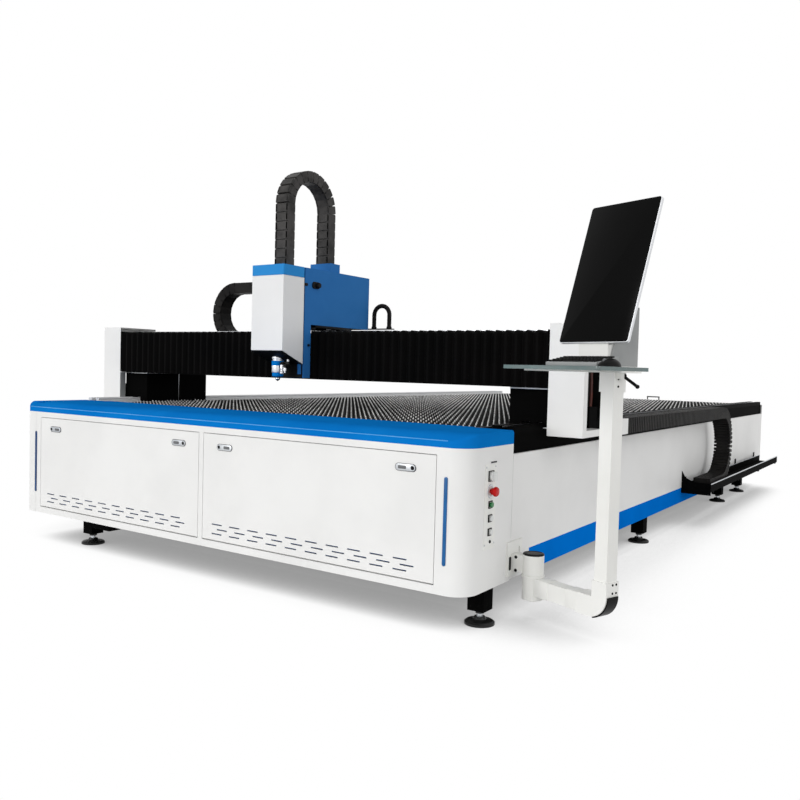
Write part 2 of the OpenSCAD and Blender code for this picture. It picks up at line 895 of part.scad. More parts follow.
// Section of the trim, measured inwards from the face
trim_section = [
  [0, cabinet_top], [0, cabinet_top + trim_band], [trim_step * 0.12, cabinet_top + trim_band + 12],
  [trim_step * 0.4, trim_top - 9], [trim_step, trim_top - 2], [corner_radius, trim_top],
  [corner_radius, trim_top - trim_wall], [trim_step, trim_top - trim_wall - 3],
  [trim_step * 0.5, trim_top - trim_wall - 10], [trim_step * 0.2, cabinet_top + trim_band + 6],
  [trim_wall, cabinet_top + trim_band - 3], [trim_wall, cabinet_top]
];

module top_trim() {
  r = corner_radius;
  w = half_width - r;
  flip = [for (p = trim_section) [r - p[0], p[1]]];
  color(blue_paint) {
    translate([-w, 0, 0])
      rotate([90, 0, 90]) linear_extrude(2 * w) polygon(trim_section);
    both_sides() {
      translate([half_width, cabinet_depth, 0])
        mirror([1, 0, 0])
          rotate([90, 0, 0]) linear_extrude(cabinet_depth - r) polygon(trim_section);
      translate([w, r, 0]) rotate([0, 0, -90]) rotate_extrude(angle = 90) polygon(flip);
    }
    span([-w, r, trim_top - trim_wall], [w, cabinet_depth, trim_top]);
    span([4 - beam_in, cabinet_depth - 1, trim_top - trim_wall], [beam_in - 4, table_front - 2, trim_top]);
  }
}

// Access panels and their latches

module latch_plate(x, y0, y1) {
  r = latch_height / 2;
  span([x - barrel_offset, y0, latch_z - r], [x + barrel_offset, y1, latch_z + r]);
  for (side = [-1, 1]) rod_y(y0, y1, x + side * barrel_offset, latch_z, r);
}

// Panel from x0 to x1 with its two latches and the side each barrel is on
module access_panel(x0, x1, latches) {
  color(white_paint)
    difference() {
      union() {
        difference() {
          span([x0, 0, door_bottom], [x1, door_depth, door_top]);
          span(
            [x0 + sheet, sheet, door_bottom + sheet],
            [x1 - sheet, door_depth + 1, door_top - sheet]
          );
        }
        for (l = latches) latch_plate(l[0], -sheet, sheet + 1);
        rod_x(
          x0 - door_gap - cabinet_wall, x0 + 8, hinge_inset, door_bottom + hinge_inset,
          hinge_pin_radius
        );
        rod_x(
          x1 - 8, x1 + door_gap + cabinet_wall, hinge_inset, door_bottom + hinge_inset,
          hinge_pin_radius
        );
      }
      for (l = latches)
        rod_y(-sheet - 1, sheet + 2, l[0] + l[1] * barrel_offset, latch_z, barrel_radius + stem_gap);
      for (row = [0:2], i = [0 : louvres - 1])
        translate([
          x0 + louvre_inset + i * louvre_pitch + (row == 1 ? louvre_shift : 0), -1,
          louvre_z + row * louvre_rise - louvre_slit / 2
        ])
          cube([louvre_length, sheet + 2, louvre_slit]);
    }
}

module access_panel_left() {
  access_panel(-panel_outer, -panel_inner, [[latch_places[0], -1], [latch_places[1], 1]]);
}

module access_panel_right() {
  access_panel(panel_inner, panel_outer, [[latch_places[2], -1], [latch_places[3], 1]]);
}

// Barrel with its cam lying towards the middle of the panel
module latch_cam(x, toward) {
  color(steel) {
    rod_y(-sheet - 2, cam_y, x, latch_z, barrel_radius);
    span(
      [toward > 0 ? x - 9 : x + 9 - cam_reach, cam_y, latch_z - cam_width / 2],
      [toward > 0 ? x - 9 + cam_reach : x + 9, cam_y + cam_thickness, latch_z + cam_width / 2]
    );
  }
}

module latch_cam_1() {
  latch_cam(latch_places[0] - barrel_offset, 1);
}

module latch_cam_2() {
  latch_cam(latch_places[1] + barrel_offset, -1);
}

module latch_cam_3() {
  latch_cam(latch_places[2] - barrel_offset, 1);
}

module latch_cam_4() {
  latch_cam(latch_places[3] + barrel_offset, -1);
}

// Controls on the cabinet's right side

module control_holes(x0, x1) {
  for (z = concat([switch_z, estop_z], button_places))
    rod_x(x0, x1, control_y, z, stem_radius + stem_gap);
}

module control_plate() {
  color(white_paint)
    difference() {
      union() {
        span(
          [half_width, control_y - control_width / 2, control_bottom],
          [control_x, control_y + control_width / 2, control_top]
        );
        for (z = button_places) rod_x(half_width, control_x + 3, control_y, z, button_radius + 4);
      }
      control_holes(half_width - 1, control_x + 4);
      for (z = button_places)
        rod_x(control_x + 0.5, control_x + 4, control_y, z, button_radius + 0.4);
    }
}

module stem(z) {
  rod_x(control_x - 30, control_x + 8, control_y, z, stem_radius);
}

module power_switch() {
  color(black_paint) {
    stem(switch_z);
    rod_x(control_x + 0.4, control_x + 12, control_y, switch_z, switch_radius);
    span(
      [control_x + 12, control_y - 5, switch_z - switch_radius],
      [control_x + 28, control_y + 5, switch_z + switch_radius]
    );
  }
}

module estop_button() {
  head = [
    [0, 0], [estop_radius * 0.7, 0], [estop_radius * 0.75, 10], [estop_radius, 13],
    [estop_radius, 20], [estop_radius * 0.85, 25], [0, 27]
  ];
  color([0.75, 0.05, 0.04]) {
    stem(estop_z);
    translate([control_x + 7, control_y, estop_z])
      rotate([0, 90, 0]) rotate_extrude() polygon(head);
  }
}

module push_button(z) {
  stem(z);
  rod_x(control_x + 6, control_x + 12, control_y, z, button_radius);
}

module push_button_1() {
  color([0.1, 0.5, 0.2]) push_button(button_places[0]);
}

module push_button_2() {
  color(grey_plastic) push_button(button_places[1]);
}

module push_button_3() {
  color(black_paint) push_button(button_places[2]);
}

// Mounting plate with the servo drives on the left and the laser source on the right
module control_gear() {
  y = gear_plate_y;
  pitch = (panel_outer - panel_inner - 300) / drive_count;
  color(steel) {
    span(
      [-panel_outer, y, gear_plate_bottom],
      [panel_outer, y + gear_plate_thickness, gear_plate_top]
    );
    for (side = [-1, 1], x = [-1, 1])
      translate([side * door_centre + x * 500, y + gear_plate_thickness, gear_plate_bottom + 40])
        cube([30, cabinet_depth - cabinet_wall - y - gear_plate_thickness, 400]);
    for (i = [0 : drive_count - 1])
      span(
        [-panel_outer + 150 + i * pitch, y - drive_depth, 380],
        [-panel_outer + 150 + i * pitch + drive_width, y, 380 + drive_height]
      );
    span(
      [door_centre - source_width / 2, y - source_depth, 330],
      [door_centre + source_width / 2, y, 330 + source_height]
    );
  }
}

// Slat table

module slat_frame() {
  half = table_width / 2;
  slot = slat_thickness / 2 + slot_gap;
  comb = concat(
    [[table_front, table_bottom], [table_rear, table_bottom], [table_rear, table_top]],
    [
      for (i = [slat_count - 1 : -1 : 0], c = [[slot, 1], [slot, 0], [-slot, 0], [-slot, 1]])
        [slat_first + i * slat_pitch + c[0], c[1] == 1 ? table_top : slat_bottom]
    ],
    [[table_front, table_top]]
  );
  color(steel) {
    both_sides()
      translate([half - table_bar, 0, 0])
        rotate([90, 0, 90]) linear_extrude(table_bar) polygon(comb);
    for (y = [table_front, table_rear - table_bar])
      span([-half + table_bar, y, table_bottom], [half - table_bar, y + table_bar, table_top]);
    both_sides() {
      for (x = [handle_x - handle_width / 2, handle_x + handle_width / 2])
        rod_z(table_top - 40, table_top + handle_height, x, table_rear - 1, handle_rod);
      rod_x(
        handle_x - handle_width / 2 - handle_rod, handle_x + handle_width / 2 + handle_rod,
        table_rear - 1, table_top + handle_height, handle_rod
      );
    }
  }
}

module slats() {
  half = slat_length / 2;
  pitch = slat_length / tooth_count;
  root = slat_top - tooth_depth;
  outline = concat(
    [[-half, slat_bottom], [half, slat_bottom], [half, root]],
    [
      for (k = [tooth_count - 1 : -1 : 0], c = [[0.5, slat_top], [0, root]])
        [-half + (k + c[0]) * pitch, c[1]]
    ]
  );
  color(steel)
    for (i = [0 : slat_count - 1])
      translate([0, slat_first + i * slat_pitch + slat_thickness / 2, 0])
        rotate([90, 0, 0]) linear_extrude(slat_thickness) polygon(outline);
}

module slag_pan() {
  half = beam_in - 20;
  z = lower_cross_top;
  color(steel)
    difference() {
      span([-half, cross_first, z], [half, cross_last + cross_width, z + pan_depth]);
      span(
        [-half + sheet, cross_first + sheet, z + sheet],
        [half - sheet, cross_last + cross_width - sheet, z + pan_depth + 1]
      );
    }
}

// Rails and racks along the bed
module y_guides() {
  color(steel)
    both_sides() {
      translate([rail_x, guide_rear, beam_top])
        rotate([90, 0, 0])
          linear_extrude(guide_rear - guide_front) rail_section(rail_width, rail_height);
      span([beam_out - rack_side, guide_front, beam_top], [beam_out, guide_rear, rack_top]);
    }
}

// Gantry

module gantry_beam() {
  shelf_rear = cross_chain_y + cross_chain_width / 2 + 16;
  color(black_paint) {
    hollow_span(
      [-cross_beam_end, cross_beam_front, foot_top],
      [cross_beam_end, cross_beam_rear, cross_beam_top], beam_plate
    );
    span(
      [-cross_beam_end, gantry_front + 4, foot_top],
      [cross_beam_end, cross_beam_front + 1, foot_top + beam_strip]
    );
    span(
      [-cross_beam_end + 20, cross_beam_rear - 1, shelf_top - 6],
      [cross_anchor_x + 20, shelf_rear, shelf_top]
    );
    span(
      [-cross_beam_end + 20, shelf_rear - 5, shelf_top - 6],
      [cross_anchor_x + 20, shelf_rear, shelf_top + 30]
    );
  }
}

module gantry_feet() {
  w = foot_wall;
  front = foot_front + w;
  rear = foot_rear - w;
  color(black_paint)
    both_sides()
      difference() {
        union() {
          difference() {
            span([foot_inner, foot_front, foot_bottom], [foot_outer, foot_rear, foot_top]);
            span([foot_inner + w, front, foot_bottom - 1], [foot_outer + 1, rear, foot_top - w]);
          }
          span(
            [foot_inner + w - 1, front - 1, block_top],
            [beam_out - rack_side - 8, rear + 1, block_top + base_plate]
          );
          span(
            [motor_plate_in, front - 1, rack_top + 7],
            [motor_plate_out, rear + 1, foot_top - w + 1]
          );
        }
        span(
          [rail_x - rail_width / 2 - 5, foot_front - 1, foot_bottom - 1],
          [rail_x + rail_width / 2 + 5, foot_rear + 1, rail_top + 5]
        );
        span(
          [beam_out - rack_side - 4, foot_front - 1, foot_bottom - 1],
          [beam_out + 4, foot_rear + 1, rack_top + 5]
        );
        rod_x(motor_plate_in - 1, motor_plate_out + 1, pinion_y, pinion_z, shaft_radius + 3);
      }
}

module y_blocks() {
  half = 35;
  groove = rail_width / 2 + block_gap;
  color(steel)
    both_sides()
      for (y = [foot_front + 50, foot_rear - 50 - block_length])
        difference() {
          span([rail_x - half, y, foot_bottom + 2], [rail_x + half, y + block_length, block_top]);
          span(
            [rail_x - groove, y - 1, foot_bottom],
            [rail_x + groove, y + block_length + 1, rail_top + block_gap]
          );
        }
}

// Gearbox and motor of one gantry drive, lying across inside the end cover
module y_drives() {
  box_end = motor_plate_out + gear_box_length;
  color(grey_plastic)
    both_sides()
      difference() {
        union() {
          rod_x(motor_plate_out, box_end, pinion_y, pinion_z, 45);
          span(
            [box_end - 1, pinion_y - 48, pinion_z - 48],
            [cover_outer - 2 * sheet - 4, pinion_y + 48, pinion_z + 48]
          );
        }
        rod_x(
          motor_plate_out - 1, motor_plate_out + 14, pinion_y, pinion_z, shaft_radius + shaft_gap
        );
      }
}

module y_pinion() {
  color(steel) {
    translate([pinion_out - pinion_width, pinion_y, pinion_z])
      rotate([0, 90, 0]) gear(pinion_radius, pinion_teeth, pinion_width);
    rod_x(pinion_out - 1, motor_plate_out + 12, pinion_y, pinion_z, shaft_radius);
  }
}

module y_pinion_right() {
  y_pinion();
}

module y_pinion_left() {
  mirror([1, 0, 0]) y_pinion();
}

module end_cover() {
  difference() {
    span(
      [foot_outer, gantry_front, cover_bottom], [cover_outer, cover_rear, cover_top]
    );
    span(
      [foot_outer - 1, gantry_front + sheet, cover_bottom - 1],
      [cover_outer - sheet, cover_rear - sheet, cover_top - sheet]
    );
    span(
      [cover_outer - sheet - 1, gantry_front + cover_rim, cover_bottom + 0.7 * cover_rim],
      [cover_outer + 1, cover_rear - cover_rim, cover_top - cover_rim]
    );
  }
}

module end_covers() {
  chain_side = long_chain_x + long_chain_width / 2;
  chain_low = long_chain_top - long_chain_height;
  color(white_paint) {
    both_sides() {
      end_cover();
      span(
        [foot_outer, foot_front + 2, pinion_z + 52],
        [foot_outer + sheet + 1, cover_rear, foot_top - 2]
      );
    }
    span(
      [chain_side - 40, cover_rear - 1, cover_bottom],
      [chain_side + 2, flange_rear - 107, long_chain_top - 15]
    );
    span(
      [chain_side - long_chain_width - 3, flange_rear - 108, chain_low],
      [chain_side + 2, flange_rear, long_chain_top]
    );
  }
}

// Rails on the beam's front and rack on its top
module x_guides() {
  length = 2 * (cross_beam_end - guide_inset);
  color(steel) {
    for (z = [cross_rail_low, cross_rail_high])
      translate([-length / 2, cross_beam_front, z])
        rotate([90, 0, 90]) rotate([0, 0, 90])
          linear_extrude(length) rail_section(cross_rail_width, cross_rail_height);
    span(
      [-length / 2, cross_rack_y, cross_beam_top], [length / 2, cross_rack_y + rack_side, cross_rack_top]
    );
  }
}

// Ring of a bellows: front and top leaf, peak or valley
function pleat_ring(x, peak) =
  let (
    y = gantry_front + (peak ? 0 : pleat_depth),
    z = bellows_top - (peak ? 0 : pleat_rise),
    low = foot_top + beam_strip + 0.3,
    back = gantry_front + bellows_top_depth,
    t = bellows_skin
  )
  [[x, y, low], [x, y, z], [x, back, z], [x, back, z - t], [x, y + t, z - t], [x, y + t, low]];

module bellows(x0, x1) {
  rings = 2 * pleat_count + 1;
  step = (x1 - x0) / (rings - 1);
  points = [for (i = [0 : rings - 1], p = pleat_ring(x0 + i * step, i % 2 == 0)) p];
  last = 6 * (rings - 1);
  faces = concat(
    [[0, 5, 4], [0, 4, 1], [1, 4, 3], [1, 3, 2]],
    [for (t = [[0, 4, 5], [0, 1, 4], [1, 3, 4], [1, 2, 3]]) [for (k = t) last + k]],
    [
      for (i = [0 : rings - 2], j = [0:5])
        let (a = 6 * i + j, b = 6 * i + (j + 1) % 6) each [[a, b, b + 6], [a, b + 6, a + 6]]
    ]
  );
  color([0.1, 0.1, 0.1]) polyhedron(points, faces);
}

module bellows_left() {
  bellows(-cross_beam_end + 2, head_x - carriage_half - 3);
}

module bellows_right() {
  bellows(head_x + carriage_half + 3, cross_beam_end - 2);
}

// Carriage

module at_cross_blocks() {
  for (side = [-1, 1], z = [cross_rail_low, cross_rail_high])
    translate([head_x + side * block_spread, 0, z]) children();
}

module carriage_plate() {
  color(blue_paint)
    difference() {
      union() {
        span(
          [head_x - carriage_half, plate_front, carriage_bottom],
          [head_x + carriage_half, plate_back, carriage_top]
        );
        at_cross_blocks() span([-block_half + 2, plate_back - 1, -28], [block_half - 2, cross_block_front, 28]);
        span(
          [lift_screw_x - 34, lift_screw_y - 36, lift_bracket_z],
          [lift_screw_x + 34, plate_front + 1, lift_bracket_z + lift_bracket]
        );
        for (side = [-1, 1])
          translate([head_x + side * slide_rail_x, plate_front + 1, carriage_bottom + 20])
            rotate([0, 0, 180]) linear_extrude(280) rail_section(slide_rail, slide_rail + 1);
      }
      rod_z(
        lift_bracket_z - 1, lift_bracket_z + lift_bracket + 1, lift_screw_x, lift_screw_y,
        lift_screw_radius + lift_screw_gap
      );
    }
}

module x_blocks() {
  groove = cross_rail_width / 2 + block_gap;
  color(steel)
    at_cross_blocks()
      difference() {
        span([-block_half, cross_block_front, -28], [block_half, cross_beam_front - 3, 28]);
        span(
          [-block_half - 1, cross_rail_front - block_gap, -groove],
          [block_half + 1, cross_beam_front, groove]
        );
      }
}

module carriage_box() {
  left = head_x - carriage_half;
  right = head_x + carriage_half;
  color(blue_paint) {
    difference() {
      span([left, plate_back, box_bottom], [right, box_back, box_top]);
      span(
        [left + sheet, plate_back - 1, box_bottom - 1],
        [right - sheet, box_back - sheet, box_top - sheet]
      );
    }
    span(
      [head_x - connector_width / 2, connector_y - connector_depth / 2, box_top - 1],
      [head_x + connector_width / 2, connector_y + connector_depth / 2, box_top + connector_height]
    );
  }
}

// Drive for the carriage and motor for the lifting screw
module carriage_drives() {
  y = drive_plate_y + drive_plate;
  inner = carriage_half - sheet;
  color(grey_plastic) {
    difference() {
      union() {
        span(
          [head_x - inner, drive_plate_y, box_bottom + 2],
          [head_x + inner, y, box_bottom + 110]
        );
        rod_y(y - 1, y + 50, head_x, small_pinion_z, 30);
        span(
          [head_x - 30, y + 49, small_pinion_z - 30], [head_x + 30, y + 150, small_pinion_z + 30]
        );
      }
      rod_y(drive_plate_y - 1, y + 12, head_x, small_pinion_z, small_shaft + shaft_gap);
    }
    span(
      [lift_screw_x - 30, lift_screw_y - 30, lift_bracket_z + lift_bracket],
      [lift_screw_x + 30, lift_screw_y + 30, lift_bracket_z + lift_bracket + 90]
    );
  }
}

module x_pinion() {
  color(steel)
    translate([head_x, cross_rack_y + 2, small_pinion_z])
      rotate([-90, 0, 0]) {
        gear(small_pinion_radius, pinion_teeth, pinion_width);
        cylinder(r = small_shaft, h = drive_plate_y + drive_plate + 10 - cross_rack_y - 2);
      }
}

// Flexible conduit that loops up behind the carriage's box
module hose_loop() {
  color(black_paint) {
    span(
      [head_x + 60, box_back, hose_bracket_z],
      [hose_x + hose_loop_radius + 26, box_back + 42, hose_bracket_z + 6]
    );
    for (side = [-1, 1])
      rod_z(hose_bracket_z + 5, hose_bracket_z + hose_leg, hose_x + side * hose_loop_radius, hose_y, hose_radius);
    translate([hose_x, hose_y, hose_bracket_z + hose_leg])
      rotate([90, 0, 0])
        rotate_extrude(angle = 180) translate([hose_loop_radius, 0]) circle(hose_radius);
  }
}

// Cutting head

module z_screw() {
  color(steel)
    rod_z(
      carriage_bottom + 87, lift_bracket_z + lift_bracket - 0.3, lift_screw_x, lift_screw_y,
      lift_screw_radius
    );
}

module head_slide() {
  inner = carriage_half - sheet;
  color(grey_plastic)
    difference() {
      union() {
        span(
          [head_x - inner, slide_plate_front, head_cover_low + 8],
          [head_x + inner, slide_plate_back, shelf_z + 122]
        );
        for (side = [-1, 1], z = [head_cover_low + 12, shelf_z + 55])
          difference() {
            translate([head_x + side * slide_rail_x, 0, z])
              span([-16, slide_plate_back - 1, 0], [16, plate_front - 3, 45]);
            translate([head_x + side * slide_rail_x, 0, z])
              span(
                [-slide_rail / 2 - block_gap, plate_front - slide_rail - block_gap, -1],
                [slide_rail / 2 + block_gap, plate_front, 46]
              );
          }
        span(
          [head_x - inner, head_cover_front + sheet, shelf_z],
          [head_x + inner, slide_plate_front + 1, shelf_z + shelf_thickness]
        );
        span(
          [lift_screw_x - 22, lift_screw_y - 22, shelf_z + 85],
          [lift_screw_x + 22, slide_plate_front + 1, shelf_z + 120]
        );
      }
      rod_z(
        shelf_z + 80, shelf_z + 121, lift_screw_x, lift_screw_y, lift_screw_radius + lift_screw_gap
      );
      rod_z(shelf_z - 1, shelf_z + 80, lift_screw_x, lift_screw_y, lift_screw_radius + 4);
      rod_z(shelf_z - 1, shelf_z + shelf_thickness + 1, head_axis_x, head_axis_y, head_radius);
    }
}

module head_cover() {
  front = head_cover_front;
  rear = head_cover_rear;
  side = [
    [front, head_cover_bottom], [rear, head_cover_low], [rear, head_cover_top], [front, head_cover_top]
  ];
  color(white_paint)
    difference() {
      translate([head_x - carriage_half, 0, 0])
        rotate([90, 0, 90]) linear_extrude(carriage_width) polygon(side);
      span(
        [head_x - carriage_half + sheet, front + sheet, head_cover_low - 1],
        [head_x + carriage_half - sheet, rear + 1, head_cover_top - sheet]
      );
    }
}

module head_cap() {
  low = head_cover_top;
  mid_y = (head_cover_front + head_cover_rear) / 2;
  color(blue_paint)
    translate([head_x, mid_y, low])
      linear_extrude(cap_height)
        round_plate(carriage_width + 2 * cap_lip, cover_depth + 2 * cap_lip, 8);
}

module cutting_head() {
  r = head_radius;
  n = nozzle_z;
  profile = [
    [0, n], [3, n], [6, n + 8], [12, n + 10], [14, n + 22], [0.75 * r, n + 26], [0.75 * r, n + 31],
    [r, n + 33], [r, n + 84], [r + 2, n + 85], [r + 2, n + 95], [r, n + 96],
    [r, shelf_z + shelf_thickness], [r + 1.5, shelf_z + shelf_thickness],
    [r + 1.5, shelf_z + shelf_thickness + 8], [0.7 * r, shelf_z + shelf_thickness + 8],
    [0.7 * r, shelf_z + 105], [0, shelf_z + 105]
  ];
  color([0.75, 0.78, 0.82])
    translate([head_axis_x, head_axis_y, 0]) rotate_extrude() polygon(profile);
}

// Energy chains

module y_chain() {
  color(black_paint)
    translate([long_chain_x, long_bend_y, long_bend_z])
      rotate([90, 0, 90])
        energy_chain(
          long_upper_run, long_lower_run, long_radius, long_chain_width, long_chain_height,
          long_chain_pitch
        );
}

module x_chain() {
  color(black_paint)
    translate([cross_bend_x, cross_chain_y, cross_bend_z])
      rotate([90, 0, 180])
        energy_chain(
          cross_upper_run, cross_lower_run, cross_radius, cross_chain_width, cross_chain_height,
          cross_chain_pitch
        );
}

module z_chain() {
  color(black_paint)
    translate([head_x, (loop_y1 + connector_y) / 2, loop_bend_z])
      rotate([0, -90, 0])
        energy_chain(
          loop_bend_z - box_top - connector_height, loop_bend_z - cap_top, loop_radius,
          lift_chain_width, lift_chain_height, lift_chain_pitch
        );
}

// Tray for the long chain with its brackets and front gusset
module chain_tray() {
  floor_z = tray_bottom + tray_plate;
  gusset = [
    [half_width, gusset_top], [half_width + 26, gusset_top - 45], [tray_in + 40, tray_bottom + 62],
    [tray_out, tray_bottom + 62], [tray_out, tray_bottom - 22], [half_width, tray_bottom - 22]
  ];
  color(black_paint) {
    difference() {
      span([tray_in, tray_front, tray_bottom], [tray_out, tray_rear, tray_bottom + tray_wall_height]);
      span(
        [tray_in + tray_plate, tray_front - 1, floor_z],
        [tray_out - tray_plate, tray_rear + 1, tray_bottom + tray_wall_height + 1]
      );
    }
    translate([0, tray_front, 0]) rotate([90, 0, 0]) linear_extrude(6) polygon(gusset);
    for (i = [0:3])
      translate([0, tray_front + 60 + i * (tray_rear - tray_front - 160) / 3, 0]) {
        span([half_width, 0, tray_bottom - 8], [tray_out, 40, tray_bottom]);
        span([half_width, 0, tray_bottom - 8], [half_width + 6, 40, gusset_top - 50]);
      }
  }
}

// Console

module on_console() {
  translate([hinge_x, hinge_y, 0]) rotate([0, 0, console_turn]) children();
}

module console_bracket() {
  low = knuckle_middle - 17;
  color(white_paint) {
    difference() {
      span([half_width, hinge_y - 60, low], [half_width + 8, hinge_y + 80, knuckle_top + 46]);
      span([half_width - 1, hinge_y + 44, low + 32], [half_width + 9, hinge_y + 58, knuckle_top + 16]);
    }
    span([half_width + 7, hinge_y - 26, knuckle_middle + 6], [hinge_x, hinge_y + 26, knuckle_top - 6]);
    rod_z(knuckle_middle + 0.3, knuckle_top, hinge_x, hinge_y, knuckle_radius);
    rod_z(knuckle_bottom - 8, knuckle_middle + 1, hinge_x, hinge_y, hinge_radius);
    rod_z(knuckle_bottom - 8, knuckle_bottom - 0.3, hinge_x, hinge_y, hinge_radius + 8);
  }
}

module console_frame() {
  half = post_side / 2;
  cheek = half + elbow_cheek;
  color(white_paint)
    on_console()
      difference() {
        union() {
          rod_z(knuckle_bottom, knuckle_middle, 0, 0, knuckle_radius);
          span([0, -half, arm_bottom], [elbow_out - elbow_radius, half, arm_top]);
          span([post_x - half, -half, arm_top - 1], [post_x + half, half, desk_bottom - 6]);
          difference() {
            span([post_x - elbow_radius - 25, -cheek, elbow_bottom], [elbow_out, cheek, arm_top + 70]);
            difference() {
              span(
                [elbow_out - elbow_radius, -cheek - 1, elbow_bottom - 1],
                [elbow_out + 1, cheek + 1, elbow_bottom + elbow_radius]
              );
              rod_y(
                -cheek - 2, cheek + 2, elbow_out - elbow_radius, elbow_bottom + elbow_radius, elbow_radius
              );
            }
            span(
              [post_x - elbow_radius - 26, -cheek - 1, arm_top + elbow_cheek],
              [post_x - half - elbow_cheek, cheek + 1, arm_top + 71]
            );
          }
          span([post_x - half - 5, -half - 5, desk_bottom - 80], [post_x + half + 5, half + 5, desk_bottom - 6]);
          span([desk_left + 60, desk_front + 60, desk_bottom - 6], [post_x + 90, stand_rear, desk_bottom]);
          span(
            [post_x - stand_width / 2, desk_rear + 4, desk_bottom - 1],
            [post_x + stand_width / 2, stand_rear, desk_top]
          );
          span([post_x + half + 4, -24, lever_z - 11], [lever_x + 10, -4, desk_bottom - 5]);
        }
        rod_z(knuckle_bottom - 1, knuckle_middle + 1, 0, 0, hinge_radius + stem_gap);
      }
}

// Cap over the elbow's rounded outside
module elbow_cap() {
  half = post_side / 2;
  x = elbow_out - elbow_radius;
  z = elbow_bottom + elbow_radius;
  color(black_paint)
    on_console()
      difference() {
        intersection() {
          rod_y(-half, half, x, z, elbow_radius + elbow_cap_thickness);
          span(
            [x + 20, -half, elbow_bottom - elbow_cap_thickness], [elbow_out + elbow_cap_thickness, half, z]
          );
        }
        rod_y(-half - 1, half + 1, x, z, elbow_radius);
      }
}

module console_tray() {
  color([0.75, 0.82, 0.82])
    on_console()
      translate([(desk_left + desk_right) / 2, (desk_front + desk_rear) / 2, desk_bottom])
        linear_extrude(desk_glass)
          round_plate(desk_right - desk_left, desk_rear - desk_front, desk_corner);
}

module monitor() {
  color(black_paint)
    on_console()
      translate([monitor_x, monitor_y, monitor_z])
        rotate([-monitor_lean, 0, 0])
          translate([0, monitor_thickness, monitor_height / 2])
            rotate([90, 0, 0])
              linear_extrude(monitor_thickness)
                round_plate(monitor_width, monitor_height, monitor_corner);
}

// Folded stand: base, front and rear plates, two gussets and a leaning plate behind the monitor
module monitor_stand() {
  half = stand_width / 2;
  front = monitor_y + 10;
  low = monitor_z - 17;
  high = monitor_z + 130;
  inside = stand_sheet / 2;
  y_low = monitor_y + monitor_thickness / cos(monitor_lean) - 17 * tan(monitor_lean);
  y_high = y_low + (high - low) * tan(monitor_lean);
  gusset = [
    [front + inside, desk_top + inside], [stand_rear - inside, desk_top + inside],
    [stand_rear - inside, high - inside], [y_high + inside, high - inside], [y_low + inside, low + inside],
    [front + inside, low]
  ];
  plate = [[y_low, low], [y_low + stand_sheet, low], [y_high + stand_sheet, high], [y_high, high]];
  color(white_paint)
    on_console() {
      for (x = [-1, 1])
        translate([monitor_x + x * (half - stand_sheet) - inside, 0, 0])
          rotate([90, 0, 90]) linear_extrude(stand_sheet) polygon(gusset);
      translate([monitor_x - half, 0, 0])
        rotate([90, 0, 90]) linear_extrude(stand_width) polygon(plate);
      span([monitor_x - half, front - 9, desk_top], [monitor_x + half, stand_rear, desk_top + stand_sheet]);
      span([monitor_x - half, front, desk_top], [monitor_x + half, front + stand_sheet, low + 6]);
      span([monitor_x - half, stand_rear - stand_sheet, desk_top], [monitor_x + half, stand_rear, high]);
    }
}

module keyboard() {
  y = desk_front + 85;
  side = [
    [y, desk_top], [y + keyboard_depth, desk_top], [y + keyboard_depth, desk_top + 26],
    [y + keyboard_depth - 8, desk_top + 30], [y, desk_top + 14]
  ];
  color(grey_plastic)
    on_console()
      translate([desk_left + 145, 0, 0])
        rotate([90, 0, 90]) linear_extrude(keyboard_length) polygon(side);
}

module mouse() {
  x = desk_right - 38;
  y = desk_front + 105;
  color(black_paint)
    on_console()
      intersection() {
        translate([x, y, desk_top])
          hull()
            for (s = [-1, 1])
              translate([0, s * (mouse_length / 2 - 30), 8]) sphere(30, $fn = 24);
        span([x - 60, y - 100, desk_top], [x + 60, y + 100, desk_top + 60]);
      }
}

// Clamp lever on a lug under the tray's right-hand side
module clamp_lever() {
  color(black_paint)
    on_console() {
      rod_y(-3.7, 10, lever_x, lever_z, 10);
      translate([lever_x, 3, lever_z])
        rotate([0, 120, 0]) {
          cylinder(r = 6, h = 76);
          translate([0, 0, 76]) sphere(8);
        }
    }
}

centred() bed_beams();
centred() cross_members();
centred() leg_blocks();
centred() levelling_feet();
centred() bed_panels();
centred() skirts();
centred() front_cabinet();
centred() top_trim();
centred() slat_frame();
centred() slats();
centred() slag_pan();
centred() y_guides();
centred() control_plate();
centred() control_gear();
centred() console_bracket();
centred() chain_tray();
centred() y_chain();
centred() access_panel_left();
centred() access_panel_right();
centred() latch_cam_1();
centred() latch_cam_2();
centred() latch_cam_3();
centred() latch_cam_4();
centred() power_switch();
centred() estop_button();
centred() push_button_1();
centred() push_button_2();
centred() push_button_3();
centred() gantry_beam();
centred() gantry_feet();
centred() end_covers();
centred() y_drives();
centred() y_blocks();
centred() x_guides();
centred() x_chain();
centred() bellows_left();
centred() bellows_right();
centred() y_pinion_left();
centred() y_pinion_right();
centred() carriage_plate();
centred() carriage_box();
centred() carriage_drives();
centred() x_blocks();
centred() hose_loop();
centred() x_pinion();
centred() z_screw();
centred() head_slide();
centred() head_cover();
centred() head_cap();
centred() cutting_head();
centred() z_chain();
centred() console_frame();
centred() elbow_cap();
centred() console_tray();
centred() monitor();
centred() monitor_stand();
centred() keyboard();
centred() mouse();
centred() clamp_lever();
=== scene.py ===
# %% [markdown]
# This lesson dresses an open flatbed fiber laser cutting machine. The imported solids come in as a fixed
# frame, and everything here is either a finish for one of those solids or a finer piece that stands for it.
# All shapes are drawn in millimetres from the middle of the cabinet's front face on the floor, as the part's
# source does, and are turned into the frame's metres only when a piece is finished.

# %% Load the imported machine
import math

import bmesh
import bpy
from mathutils import Matrix, Vector


